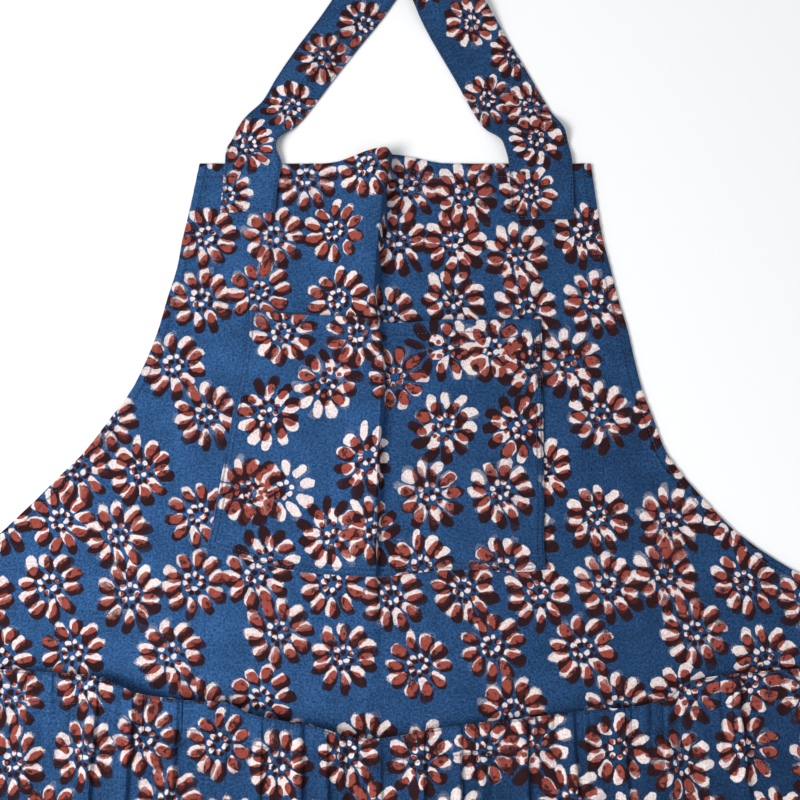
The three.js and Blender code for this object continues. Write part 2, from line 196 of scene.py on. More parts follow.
def blooms_over(chart, low, high):
    """Each bloom that reaches cloth between two corners: place, turn, set, three strays, own slip."""
    blooms = chart["blooms"]
    own = [blooms[way] if way in blooms else 0 * blooms["turn"] for way in ("right", "up")]
    found = []
    for column in range(math.floor(low[0] / chart["across"]) - 1, math.ceil(high[0] / chart["across"]) + 2):
        for row in range(math.floor(low[1] / chart["down"]) - 1, math.ceil(high[1] / chart["down"]) + 2):
            x = blooms["across"] + column * chart["across"]
            y = row * chart["down"] - blooms["down"]
            chance = np.random.default_rng(BLOOM_SEED + 37 * column + row)
            x = x + chance.uniform(-BLOOM_JITTER, BLOOM_JITTER, len(x))
            y = y + chance.uniform(-BLOOM_JITTER, BLOOM_JITTER, len(y))
            strays = chance.uniform(-1, 1, (len(x), 3))
            found.append(np.column_stack([x, y, blooms["turn"], chart["sets"], strays, *own]))
    found = np.concatenate(found)
    margin = 2 * BLOOM_REACH
    inside = np.all((found[:, :2] > low - margin) & (found[:, :2] < high + margin), axis=1)
    return found[inside]


def stamp_the_blooms(mesh, on_cloth, faces, chart, slip):
    """Gives each face the place, in the nearest bloom of each set and block, of each of its corners.

    slip says, for places on the cloth, how far right and up the rust block landed off the white one, how
    far single blooms stray from that, how much of a turn they stray by, and how dry the white block was.
    """
    corner_cloth = on_cloth[faces]
    middles = corner_cloth.mean(axis=1)
    blooms = blooms_over(chart, on_cloth.min(axis=0), on_cloth.max(axis=0))
    right, up, stray, stray_turn, _ = slip(blooms[:, 0], blooms[:, 1])
    second = blooms.copy()
    second[:, 0] += right + stray * blooms[:, 4] + blooms[:, 7]
    second[:, 1] += up + stray * blooms[:, 5] + blooms[:, 8]
    second[:, 2] += stray_turn * blooms[:, 6]
    for block, printed in (("white", blooms), ("rust", second)):
        for number, letter in enumerate(SETS):
            mine = printed[:, 3] == number
            places, turns = printed[mine, :2], printed[mine, 2]
            nearest = np.empty(len(middles), dtype=int)
            for start in range(0, len(middles), FACES_AT_ONCE):
                part = middles[start:start + FACES_AT_ONCE]
                gaps = ((part[:, None, :] - places[None, :, :]) ** 2).sum(axis=2)
                nearest[start:start + FACES_AT_ONCE] = gaps.argmin(axis=1)
            local = (corner_cloth - places[nearest][:, None, :]) / chart["size"]
            turn = np.repeat(turns[nearest][:, None, None], 4, axis=1)
            values = np.concatenate([local, turn], axis=2)
            layer = mesh.attributes.new(f"{block}_{letter}", "FLOAT_VECTOR", "CORNER")
            layer.data.foreach_set("vector", values.ravel())
    dryness = slip(on_cloth[:, 0], on_cloth[:, 1])[4] + 0 * on_cloth[:, 0]
    mesh.attributes.new("dry", "FLOAT", "POINT").data.foreach_set("value", dryness)


def feed(node, inputs):
    """Gives a node its inputs, in order or by name, as sockets to link or values to set."""
    for place, value in inputs.items() if isinstance(inputs, dict) else enumerate(inputs):
        if isinstance(value, bpy.types.NodeSocket):
            node.id_data.links.new(value, node.inputs[place])
        elif value is not None:
            node.inputs[place].default_value = value


def made(tree, kind, inputs=(), out=0, **settings):
    """One node with its settings and inputs; returns one output."""
    new = tree.nodes.new(kind)
    for name, value in settings.items():
        setattr(new, name, value)
    feed(new, inputs)
    return new.outputs[out]


def maths(tree, operation, *values):
    return made(tree, "ShaderNodeMath", values, operation=operation)


def vectors(tree, operation, *values):
    return made(tree, "ShaderNodeVectorMath", values, operation=operation)


def noise(tree, place, scale, detail, roughness, out=0):
    return made(tree, "ShaderNodeTexNoise", (place, None, scale, detail, roughness), out=out,
                noise_dimensions="3D")


def ranged(tree, value, low, high, first, last, **settings):
    """A value carried from low and high to first and last, and held there beyond them."""
    return made(tree, "ShaderNodeMapRange", (value, low, high, first, last), **settings)


def blended(tree, share, first, second):
    """The color at a share of the way from the first to the second."""
    return made(tree, "ShaderNodeMix", (share, None, None, None, None, None, first, second), out=2,
                data_type="RGBA")


def attribute(tree, name, out=1):
    return made(tree, "ShaderNodeAttribute", attribute_name=name, out=out)


def parts_of(tree, vector):
    return made(tree, "ShaderNodeSeparateXYZ", (vector,)).node.outputs


def effect(name, inputs, outputs, kind="ShaderNodeTree"):
    """An empty node group with named inputs and outputs, each with the type of its socket."""
    tree = bpy.data.node_groups.new(name, kind)
    for way, sockets in (("INPUT", inputs), ("OUTPUT", outputs)):
        for label, form in sockets.items():
            tree.interface.new_socket(label, in_out=way, socket_type="NodeSocket" + form)
    return tree, tree.nodes.new("NodeGroupInput").outputs, tree.nodes.new("NodeGroupOutput")


def petal_ring_effect():
    """A ring of uneven carved petals round the origin: 1 on a petal, 0 between them."""
    sizes = ("Turn", "Count", "Radius", "Half length", "Half width", "Ragged")
    tree, given, result = effect("ring of petals", {"Place": "Vector", **dict.fromkeys(sizes, "Float")},
                                 {"Mask": "Float"})
    place, turn, count = given["Place"], given["Turn"], given["Count"]
    right, up, _ = parts_of(tree, place)
    out = maths(tree, "SQRT", maths(tree, "ADD", maths(tree, "MULTIPLY", right, right),
                                    maths(tree, "MULTIPLY", up, up)))
    angle = maths(tree, "DIVIDE", maths(tree, "ARCTAN2", up, right), 2 * math.pi)
    petal = maths(tree, "MULTIPLY", maths(tree, "ADD", angle, turn), count)
    which = maths(tree, "FLOORED_MODULO", maths(tree, "FLOOR", petal), count)
    swing = maths(tree, "SUBTRACT", maths(tree, "FRACT", petal), 0.5)
    arc = maths(tree, "DIVIDE", maths(tree, "MULTIPLY", out, 2 * math.pi), count)
    key = made(tree, "ShaderNodeCombineXYZ", (which, turn, count))
    chance = made(tree, "ShaderNodeTexWhiteNoise", (key,), out=1, noise_dimensions="3D")
    draws = made(tree, "ShaderNodeSeparateColor", (chance,)).node.outputs

    def varied(base, draw, spread):
        grown = maths(tree, "MULTIPLY_ADD", draw, spread, 1 - spread / 2)
        return maths(tree, "MULTIPLY", base, grown)

    reach = varied(given["Radius"], draws[0], 0.15)
    half_length = varied(given["Half length"], draws[1], 0.34)
    half_width = varied(given["Half width"], draws[2], 0.34)
    skew = maths(tree, "MULTIPLY_ADD", draws[1], 0.22, -0.11)
    lengthways = maths(tree, "DIVIDE", maths(tree, "SUBTRACT", out, reach), half_length)
    widening = maths(tree, "MULTIPLY_ADD", lengthways, 0.20, 1.0)
    side = maths(tree, "MULTIPLY", maths(tree, "ADD", swing, skew), arc)
    lean = maths(tree, "MULTIPLY_ADD", draws[0], 0.6, -0.3)
    side = maths(tree, "MULTIPLY_ADD", maths(tree, "SUBTRACT", out, reach), lean, side)
    sideways = maths(tree, "DIVIDE", side, maths(tree, "MULTIPLY", half_width, widening))
    round_end = maths(tree, "ADD",
                      maths(tree, "POWER", maths(tree, "ABSOLUTE", lengthways), 2.3),
                      maths(tree, "POWER", maths(tree, "ABSOLUTE", sideways), 2.3))
    cut = maths(tree, "MULTIPLY", maths(tree, "SUBTRACT", noise(tree, place, 0.45, 3.0, 0.6), 0.5), 0.75)
    strokes = noise(tree, place, 1.3, 2.0, 0.7)
    at_tip = ranged(tree, lengthways, 0.15, 0.95, 0.0, 3.2)
    dry = maths(tree, "MULTIPLY", maths(tree, "SUBTRACT", strokes, 0.42),
                maths(tree, "MULTIPLY", at_tip, given["Ragged"]))
    edge = maths(tree, "ADD", round_end, maths(tree, "ADD", cut, dry))
    mask = ranged(tree, edge, 0.90, 1.08, 1.0, 0.0, interpolation_type="SMOOTHSTEP")
    feed(result, {"Mask": mask})
    return tree


ring_of_petals = petal_ring_effect()


def daisy_effect():
    """One block daisy: ten petals and a ring of dots, cut unevenly."""
    tree, given, result = effect("block daisy", {"Bloom": "Vector", "Ragged": "Float", "Trim": "Float"},
                                 {"Mask": "Float"})
    right, up, turn = parts_of(tree, given["Bloom"])
    flat = made(tree, "ShaderNodeCombineXYZ", (right, up, 0.0))
    drift = noise(tree, given["Bloom"], 0.09, 2.0, 0.5, out=1)
    wobble = vectors(tree, "MULTIPLY", vectors(tree, "SUBTRACT", drift, (0.5, 0.5, 0.5)), (5.0, 5.0, 0.0))
    place = vectors(tree, "ADD", flat, wobble)
    masks = []
    for count, radius, length, width in (PETALS, DOTS):
        masks.append(made(tree, "ShaderNodeGroup", {
            "Place": place, "Turn": turn, "Ragged": given["Ragged"], "Count": count, "Radius": radius,
            "Half length": maths(tree, "MULTIPLY", given["Trim"], length),
            "Half width": maths(tree, "MULTIPLY", given["Trim"], width),
        }, node_tree=ring_of_petals))
    feed(result, {"Mask": maths(tree, "MAXIMUM", *masks)})
    return tree


def weave_effect():
    """Plain weave: its height, and the uneven shade of the yarns."""
    tree, given, result = effect("plain weave", {"Cloth": "Vector", "Pitch": "Float"},
                                 {"Height": "Float", "Shade": "Float"})
    across, up, _ = parts_of(tree, vectors(tree, "DIVIDE", given["Cloth"], given["Pitch"]))
    warp = maths(tree, "SINE", maths(tree, "MULTIPLY", across, math.pi))
    weft = maths(tree, "SINE", maths(tree, "MULTIPLY", up, math.pi))
    crossing = maths(tree, "MULTIPLY", warp, weft)
    over = maths(tree, "GREATER_THAN", crossing, 0.0)
    height = made(tree, "ShaderNodeMix", (over, None, maths(tree, "ABSOLUTE", weft),
                                          maths(tree, "ABSOLUTE", warp)), data_type="FLOAT")
    shades = []
    for stretch in ((0.11, 1.5, 1.0), (1.5, 0.11, 1.0)):
        shades.append(noise(tree, vectors(tree, "MULTIPLY", given["Cloth"], stretch), 1.0, 2.0, 0.6))
    cloudy = noise(tree, given["Cloth"], 0.5, 4.0, 0.7)
    total = maths(tree, "ADD", maths(tree, "ADD", *shades), cloudy)
    feed(result, {"Height": height, "Shade": maths(tree, "DIVIDE", total, 3.0)})
    return tree


block_daisy = daisy_effect()
plain_weave = weave_effect()


def printed_cotton_material():
    deep_indigo = (0.004, 0.031, 0.102, 1)
    pale_indigo = (0.034, 0.103, 0.250, 1)
    undyed_fibre = (0.12, 0.18, 0.30, 1)
    white = (0.69, 0.595, 0.585, 1)
    rust = (0.252, 0.048, 0.035, 1)
    brown = (0.020, 0.0070, 0.0080, 1)
    material = bpy.data.materials.new("printed_cotton")
    material.use_nodes = True
    tree = material.node_tree
    shader = tree.nodes["Principled BSDF"]
    cloth = attribute(tree, "cloth")
    flat = vectors(tree, "MULTIPLY", cloth, (1, 1, 0))
    weave = made(tree, "ShaderNodeGroup", {"Cloth": flat, "Pitch": YARN_PITCH}, node_tree=plain_weave).node
    shade = weave.outputs["Shade"]

    def blooms(block, ragged, trim):
        total = None
        for letter in SETS:
            place = attribute(tree, f"{block}_{letter}")
            mask = made(tree, "ShaderNodeGroup", {"Bloom": place, "Ragged": ragged, "Trim": trim},
                        node_tree=block_daisy)
            total = mask if total is None else maths(tree, "MAXIMUM", total, mask)
        return total

    brushed = ranged(tree, noise(tree, flat, 0.013, 1.0, 0.5), 0.40, 0.58, 0.15, 1.0)
    dryness = maths(tree, "MULTIPLY", attribute(tree, "dry", out=2), brushed)
    white_block = blooms("white", dryness, WHITE_TRIM)
    rust_block = blooms("rust", RUST_RAGGED, RUST_TRIM)
    mottled = maths(tree, "MULTIPLY_ADD", noise(tree, flat, 0.62, 3.0, 0.8), 0.65,
                    maths(tree, "MULTIPLY", shade, 0.35))
    ground = blended(tree, ranged(tree, mottled, 0.41, 0.59, 0.0, 1.0), deep_indigo, pale_indigo)
    flecks = ranged(tree, noise(tree, flat, 0.95, 2.0, 0.9), 0.56, 0.74, 0.0, 0.5)
    ground = blended(tree, flecks, ground, undyed_fibre)
    steeped = ranged(tree, noise(tree, flat, 0.045, 3.0, 0.6), 0.34, 0.66, 0.84, 1.16)
    whole = parts_of(tree, made(tree, "ShaderNodeTexCoord", out=3))
    # Painted shade: the indigo ground is painted darker towards the right, from the top of the pouch down,
    # and on the neck strap above the bib, to deepen the fall of the light; coloured is the dyed ground with
    # this painted shade, and steeped is the dye's own random unevenness.
    painted_shade_by_place = maths(tree, "MULTIPLY", ranged(tree, whole[0], -0.12, 0.15, 1.0, 0.62), maths(
        tree, "MULTIPLY", ranged(tree, whole[1], -0.02, -0.05, 1.0, 0.75),
        ranged(tree, whole[1], 0.35, 0.38, 1.0, 0.84)))
    coloured = made(tree, "ShaderNodeVectorMath", {0: ground, "Scale": maths(tree, "MULTIPLY", painted_shade_by_place, steeped)},
                operation="SCALE")
    patchy = ranged(tree, shade, 0.36, 0.50, 0.55, 1.0)
    whitened = blended(tree, maths(tree, "MULTIPLY", white_block, patchy), coloured, white)
    starved = ranged(tree, noise(tree, flat, 0.21, 2.0, 0.6), 0.40, 0.45, 0.12, 1.0)
    over_print = blended(tree, maths(tree, "MULTIPLY", white_block, starved), brown, rust)
    covered = maths(tree, "MULTIPLY", rust_block, ranged(tree, shade, 0.3, 0.46, 0.85, 0.99))
    printed = blended(tree, covered, whitened, over_print)
    front = parts_of(tree, cloth)[2]
    color = blended(tree, front, blended(tree, 0.35, coloured, printed), printed)
    lines = [maths(tree, "ABSOLUTE", line) for line in parts_of(tree, attribute(tree, "seams"))]
    away = maths(tree, "MINIMUM", maths(tree, "MINIMUM", lines[0], lines[1]), lines[2])
    in_groove = ranged(tree, away, 0.15, 1.2, 1.0, 0.0, interpolation_type="SMOOTHSTEP")
    by_seam = ranged(tree, away, 0.0, 7.0, 1.0, 0.0)
    puckers = maths(tree, "MULTIPLY", noise(tree, flat, 0.32, 2.0, 0.5), by_seam)
    uneven = ranged(tree, noise(tree, flat, 0.7, 2.0, 0.9), 0.36, 0.64, 0.80, 1.20)
    # Painted shade: the colour is darkened by up to 42 % within about 1.2 mm of each line of stitching, for
    # the shade in the groove the thread pulls, which also draws the dark line along the pouch's top edge;
    # uneven is random tone in the yarns.
    painted_groove_shade_and_grain = maths(tree, "MULTIPLY", maths(tree, "MULTIPLY_ADD", in_groove, -0.42, 1.0), uneven)
    color_with_painted_shade = made(tree, "ShaderNodeVectorMath", {0: color, "Scale": painted_groove_shade_and_grain}, operation="SCALE")
    relief = maths(tree, "MULTIPLY_ADD", weave.outputs["Height"], 0.6, maths(tree, "MULTIPLY", shade, 1.6))
    relief = maths(tree, "MULTIPLY_ADD", in_groove, -1.6, relief)
    relief = maths(tree, "MULTIPLY_ADD", puckers, 5.0, relief)
    feed(shader, {
        "Base Color": color_with_painted_shade,
        "Roughness": ranged(tree, shade, 0.3, 0.7, 0.92, 0.78),
        "Specular IOR Level": 0.06,
        "Sheen Weight": 0.015,
        "Sheen Roughness": 0.5,
        "Normal": made(tree, "ShaderNodeBump", (0.5, 0.00022, None, relief)),
    })
    return material


printed_cotton = printed_cotton_material()

# The sewing thread.
# Blue cotton thread in lockstitch holds the hems, the pocket, the casing and the strap and tie ends. Each
# stitch is a short raised length of thread that dips into the cloth at both ends.
SEAM_STEP = 2.5
STITCH = 1.9
STITCH_GAP = 0.8
THREAD = 0.36


def stitch_row_effect():
    """Geometry nodes: stitches of one length, evenly spaced along curves."""
    tree, given, result = effect(
        "row of stitches",
        {"Seam lines": "Geometry", "Stitch length": "Float", "Gap": "Float", "Thread width": "Float",
         "Seed": "Int", "Thread": "Material"},
        {"Stitches": "Geometry"}, "GeometryNodeTree")
    length = given["Stitch length"]
    step = maths(tree, "ADD", length, given["Gap"])
    points = made(tree, "GeometryNodeCurveToPoints", {"Curve": given["Seam lines"], "Length": step},
                  mode="LENGTH").node.outputs
    half_width = maths(tree, "MULTIPLY", given["Thread width"], 0.5)
    half_length = maths(tree, "MULTIPLY", length, 0.5)
    sizes = made(tree, "ShaderNodeCombineXYZ", (half_width, half_width, half_length))
    bead = made(tree, "GeometryNodeMeshUVSphere", (6, 5, 1.0))
    stitch = made(tree, "GeometryNodeTransform", {"Geometry": bead, "Scale": sizes})
    turn = made(tree, "FunctionNodeAlignRotationToVector", {"Vector": points["Tangent"]}, axis="Z")
    pull = made(tree, "FunctionNodeRandomValue",
                {0: (0.9, 0.9, 0.88), 1: (1.1, 1.1, 1.06), "Seed": given["Seed"]}, data_type="FLOAT_VECTOR")
    laid = made(tree, "GeometryNodeInstanceOnPoints",
                {"Points": points["Points"], "Instance": stitch, "Rotation": turn, "Scale": pull})
    real = made(tree, "GeometryNodeRealizeInstances", {"Geometry": laid})
    coloured = made(tree, "GeometryNodeSetMaterial", {"Geometry": real, "Material": given["Thread"]})
    feed(result, {"Stitches": coloured})
    return tree


def thread_material():
    material = plain_material("sewing_thread", (0.03, 0.08, 0.19), 0.75)
    tree = material.node_tree
    place = made(tree, "ShaderNodeTexCoord", out=3)
    worn = noise(tree, place, 900.0, 2.0, 0.6)
    twist = made(tree, "ShaderNodeTexWave", (place, 2600.0, 1.5), out=1)
    feed(tree.nodes["Principled BSDF"], {
        "Base Color": blended(tree, worn, (0.016, 0.05, 0.13, 1), (0.05, 0.12, 0.26, 1)),
        "Normal": made(tree, "ShaderNodeBump", (0.4, 0.00006, None, twist)),
    })
    return material


row_of_stitches = stitch_row_effect()
sewing_thread = thread_material()


def laid_on(piece, x, y):
    """Points in metres where lines given in the bib frame lie on a piece, seen from above."""
    corners = [vertex.co for vertex in piece.data.vertices]
    tree = BVHTree.FromPolygons(corners, [face.vertices for face in piece.data.polygons])
    points = []
    for across, up in zip(x, y):
        hit = tree.ray_cast(Vector((across * MM, (up + BIB_TOP) * MM, 1.0)), Vector((0, 0, -1)))[0]
        if hit is not None:
            points.append((hit.x, hit.y, hit.z + 0.05 * MM))
    return points


def sew(name, seed, lines):
    """One mesh of all the stitches along the lines, each a list of points in metres."""
    curve = bpy.data.curves.new(name + "_lines", "CURVE")
    curve.dimensions = "3D"
    for points in lines:
        spline = curve.splines.new("POLY")
        spline.points.add(len(points) - 1)
        spline.points.foreach_set("co", np.column_stack([points, np.ones(len(points))]).ravel())
    holder = added(name + "_lines", curve)
    modifier = holder.modifiers.new("row of stitches", "NODES")
    modifier.node_group = row_of_stitches
    values = {"Stitch length": STITCH * MM, "Gap": STITCH_GAP * MM, "Thread width": THREAD * MM,
              "Seed": seed, "Thread": sewing_thread}
    for item in row_of_stitches.interface.items_tree:
        if item.in_out == "INPUT" and item.name in values:
            modifier[item.identifier] = values[item.name]
    seen = holder.evaluated_get(bpy.context.evaluated_depsgraph_get())
    mesh = bpy.data.meshes.new_from_object(seen)
    bpy.data.objects.remove(holder)
    mesh.polygons.foreach_set("use_smooth", [True] * len(mesh.polygons))
    stitches = added(name, mesh)
    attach(stitches, "root")
    return stitches


# The body panel.
# One piece of plain-weave cotton makes the bib and the lower body, with a narrow hem turned all round.
# It was folded down the middle, and the crease still stands up through the bib.
BODY_CLOTH = 0.9
HEM_CLOTH = 0.8
HEM_WIDTH = 9.0
TOP_HEM_EXTRA = 2.5
EDGE_ROUNDING = 0.45
FAR_FROM_SEAMS = 100.0
BIB_HALF = 140.0
WAIST_HALF = 322.0
HEM_FLARE = 8.0
ARM_DROP = 310.0
HEM_CORNER = 26.0
CORNER_FULLNESS = 0.92
SIDE_SEAM_IN = 3.5
TOP_SEAM_IN = 1.5
SEAM_FROM_CORNER = 8.0
RIDGE_HEIGHT = 14.0
RIDGE_SPREAD = 42.0
RIDGE_DROP = 6.0
EDGE_RISE = 7.0
ARM_CURVE = table(
    "down left right",
    (0.00, 0.000, -0.006),
    (0.11, 0.034, 0.016),
    (0.18, 0.058, 0.033),
    (0.25, 0.077, 0.060),
    (0.32, 0.110, 0.086),
    (0.39, 0.140, 0.118),
    (0.46, 0.181, 0.141),
    (0.53, 0.236, 0.168),
    (0.60, 0.319, 0.209),
    (0.67, 0.407, 0.251),
    (0.73, 0.505, 0.322),
    (0.77, 0.570, 0.380),
    (0.845, 0.700, 0.500),
    (0.92, 0.850, 0.680),
    (0.97, 0.965, 0.840),
    (1.00, 1.000, 0.950),
    (1.04, 1.000, 1.000),
    (1.10, 1.000, 1.000),
)
CREASE_LINE = table(
    "down across height drop",
    (0.000, -0.050, 1.00, 0.8),
    (0.030, -0.062, 0.92, 0.6),
    (0.080, -0.095, 0.85, 0.5),
    (0.125, -0.112, 0.66, 0.5),
    (0.150, -0.105, 0.50, 0.5),
    (0.180, -0.072, 0.46, 0.4),
    (0.250, -0.085, 0.55, 0.4),
    (0.320, -0.100, 0.50, 0.4),
    (0.358, -0.105, 0.40, 0.4),
    (0.385, -0.108, 0.18, 0.8),
    (0.430, -0.110, 0.09, 1.2),
    (0.490, -0.112, 0.05, 1.6),
    (0.540, -0.112, 0.00, 2.0),
    (1.000, -0.112, 0.00, 2.6),
)
BODY_FOLDS = [
    # from across, from down, to across, to down (shares), width and height in mm
    (-0.096, 0.452, -0.093, 0.492, 7, 1.7),
    (-0.058, 0.455, -0.062, 0.492, 7, 1.7),
    (0.320, 0.062, 0.270, 0.130, 16, 2.2),
    (-0.310, 0.045, -0.285, 0.110, 15, 2.2),
    (-0.560, 0.290, -0.440, 0.400, 24, 3.0),
    (0.600, 0.320, 0.420, 0.410, 24, 3.0),
    (0.400, 0.190, 0.370, 0.300, 14, 1.6),
    (-0.455, 0.200, -0.430, 0.270, 12, 1.5),
]


def hump(t):
    return np.where(np.abs(t) >= 1, 0.0, 0.5 + 0.5 * np.cos(np.pi * np.clip(t, -1, 1)))


def ease(t):
    s = np.clip(t, 0, 1)
    return s * s * (3 - 2 * s)


def mix(a, b, t):
    return a + (b - a) * t


def along(curve, at, of, place):
    """A smooth line through two columns of a table, read at any place."""
    x, v = curve[at], curve[of]
    last = len(x) - 1
    steps = np.arange(last + 1)
    low, high = np.maximum(steps - 1, 0), np.minimum(steps + 1, last)
    slope = (v[high] - v[low]) / (x[high] - x[low])
    place = np.clip(place, x[0], x[-1])
    k = np.clip(np.searchsorted(x, place, side="right") - 1, 0, last - 1)
    width = x[k + 1] - x[k]
    t = (place - x[k]) / width
    start = (2 * t**3 - 3 * t**2 + 1) * v[k] + (t**3 - 2 * t**2 + t) * slope[k] * width
    return start + (3 * t**2 - 2 * t**3) * v[k + 1] + (t**3 - t**2) * slope[k + 1] * width


def crinkle(x, y, reach, seed):
    """The slight unevenness that washed cotton keeps, from 0 to 1."""
    chance = np.random.default_rng(seed)
    total = np.zeros(np.broadcast(x, y).shape)
    for _ in range(9):
        turn, start, bend = chance.uniform(0, 2 * np.pi, 3)
        pitch = reach * chance.uniform(0.55, 1.9)
        forward = x * np.cos(turn) + y * np.sin(turn)
        sideways = y * np.cos(turn) - x * np.sin(turn)
        bowed = forward + 0.3 * pitch * np.sin(sideways / pitch * 1.7 + bend)
        total += np.sin(bowed * 2 * np.pi / pitch + start)
    return 0.5 + 0.5 * np.tanh(total / 3.2)


def crease_x(y):
    return along(CREASE_LINE, "down", "across", -y / BODY_LENGTH) * BIB_HALF


def ridge(x, y):
    away = x - crease_x(y)
    height = RIDGE_HEIGHT * np.maximum(0, along(CREASE_LINE, "down", "height", -y / BODY_LENGTH))
    drop = RIDGE_DROP * along(CREASE_LINE, "down", "drop", -y / BODY_LENGTH)
    return height * hump(away / np.where(away < 0, RIDGE_SPREAD, drop))


def beside(x, y, ax, ay, bx, by):
    """How far along a line from a to b each point lies, as a share, and how far to the side of it."""
    span = math.hypot(bx - ax, by - ay)
    share = ((x - ax) * (bx - ax) + (y - ay) * (by - ay)) / span**2
    return share, ((x - ax) * (by - ay) - (y - ay) * (bx - ax)) / span


def fold_height(x, y):
    height = np.zeros(np.broadcast(x, y).shape)
    for from_x, from_y, to_x, to_y, width, tall in BODY_FOLDS:
        t, side = beside(x, y, from_x * WAIST_HALF, -from_y * BODY_LENGTH,
                         to_x * WAIST_HALF, -to_y * BODY_LENGTH)
        height = height + tall * hump(side / width) * hump(2 * t - 1)
    return height


def body_top(x, y):
    """Height of the upper face of the body cloth, away from its hems."""
    return BODY_CLOTH + ridge(x, y) + fold_height(x, y) + 0.5 * crinkle(x, y, 34, 4)


def body_side(y, side):
    out = along(ARM_CURVE, "down", side, -y / ARM_DROP)
    flare = HEM_FLARE * ease((-y - ARM_DROP) / (BODY_LENGTH - ARM_DROP))
    return mix(BIB_HALF, WAIST_HALF, out) + flare


def corner_cut(y):
    """How far the rounded corners of the hem draw the sides in."""
    into_corner = np.maximum(0, -y - (BODY_LENGTH - HEM_CORNER))
    return HEM_CORNER - np.sqrt(HEM_CORNER**2 - into_corner**2 * CORNER_FULLNESS)


def spaced(start, end, step):
    return np.linspace(start, end, max(2, int(round(abs(end - start) / step)) + 1))


NEAR_CREASE = np.concatenate([spaced(-42, -8, 3), spaced(-6.6, 9, 0.9), spaced(11, 26, 3)])


def hem_share(distance, width):
    """1 on the turned hem and 0 on the single cloth, with the step where the hem ends."""
    return 1 - ease((distance - width) / 0.8)


def closed_cloth(name, middle, thick, cloth, chart, slip, seams, back=None):
    """A closed piece of cloth from a grid of points halfway through it, all in millimetres.

    cloth is each point's place on the printed length it was cut from, and back the place of the layer
    behind, where there is one. seams are up to three signed distances to lines of stitching.
    """
    rows, count = middle.shape[:2]
    thick = thick.copy()
    thick[[0, -1], :] *= EDGE_ROUNDING
    thick[:, [0, -1]] *= EDGE_ROUNDING
    normal = np.cross(np.gradient(middle, axis=1), np.gradient(middle, axis=0))
    normal /= np.linalg.norm(normal, axis=2, keepdims=True)
    upper = middle + normal * thick[..., None] / 2
    lower = middle - normal * thick[..., None] / 2
    shift = rows * count
    at = np.arange(shift).reshape(rows, count)
    under = at + shift
    a, b, c, d = at[:-1, :-1], at[:-1, 1:], at[1:, 1:], at[1:, :-1]
    faces = [
        np.stack([a, b, c, d], -1),
        np.stack([a, d, c, b], -1) + shift,
        np.stack([at[0, :-1], under[0, :-1], under[0, 1:], at[0, 1:]], -1),
        np.stack([at[-1, :-1], at[-1, 1:], under[-1, 1:], under[-1, :-1]], -1),
        np.stack([at[:-1, 0], at[1:, 0], under[1:, 0], under[:-1, 0]], -1),
        np.stack([at[:-1, -1], under[:-1, -1], under[1:, -1], at[1:, -1]], -1),
    ]
    faces = np.concatenate([part.reshape(-1, 4) for part in faces])
    points = np.concatenate([upper.reshape(-1, 3), lower.reshape(-1, 3)])
    points[:, 1] += BIB_TOP
    mesh = bpy.data.meshes.new(name)
    mesh.from_pydata((points * MM).tolist(), [], faces.tolist())
    mesh.polygons.foreach_set("use_smooth", [True] * len(mesh.polygons))
    mesh.set_sharp_from_angle(angle=math.radians(50))
    piece = added(name, mesh)
    behind = cloth if back is None else back
    on_cloth = np.concatenate([cloth.reshape(-1, 2), behind.reshape(-1, 2)])
    printed = np.repeat([1.0, 0.0 if back is None else 1.0], shift)
    place = mesh.attributes.new("cloth", "FLOAT_VECTOR", "POINT")
    place.data.foreach_set("vector", np.column_stack([on_cloth, printed]).ravel())
    no_seam = np.full(middle.shape[:2], FAR_FROM_SEAMS)
    lines = np.stack([*seams, no_seam, no_seam, no_seam][:3], -1).reshape(-1, 3)
    sewn = mesh.attributes.new("seams", "FLOAT_VECTOR", "POINT")
    sewn.data.foreach_set("vector", np.concatenate([lines, lines]).ravel())
    stamp_the_blooms(mesh, on_cloth, faces, chart, slip)
    mesh.materials.append(printed_cotton)
    return piece


def columns_across(left, right, crease, edge):
    """Places across each row, crowded at the two sides and round the crease."""
    return np.concatenate([
        left[:, None] + (crease + NEAR_CREASE[0] - left)[:, None] * edge,
        crease[:, None] + NEAR_CREASE,
        (right[:, None] + (crease + NEAR_CREASE[-1] - right)[:, None] * edge)[:, ::-1],
    ], axis=1)


def crease_column(edge):
    """The column of columns_across that follows the crease."""
    return len(edge) + int(np.argmin(np.abs(NEAR_CREASE)))


def arc_from(middle, column):
    """Distance along the cloth of each point of a row from one column, which keeps its own place."""
    steps = np.linalg.norm(np.diff(middle, axis=1), axis=2)
    run = np.concatenate([np.zeros((len(steps), 1)), np.cumsum(steps, axis=1)], axis=1)
    return run - run[:, [column]] + middle[:, [column], 0]


def body_slip(x, y):
    """The rust block lies low everywhere, and lower still on the upper right, where the white is wetter."""
    upper_right = ease((x + 4) / 50) * ease((y + 330) / 80)
    return mix(1.9, 1.2, upper_right), mix(-3.3, -6.8, upper_right), 1.5, 0.008, mix(1, 0.5, upper_right)


def edge_lift(x, y):
    """The bib's top edge peaks where the crease stands up."""
    return EDGE_RISE * hump((x - crease_x(y)) / 46) * ease(1 + y / 60)


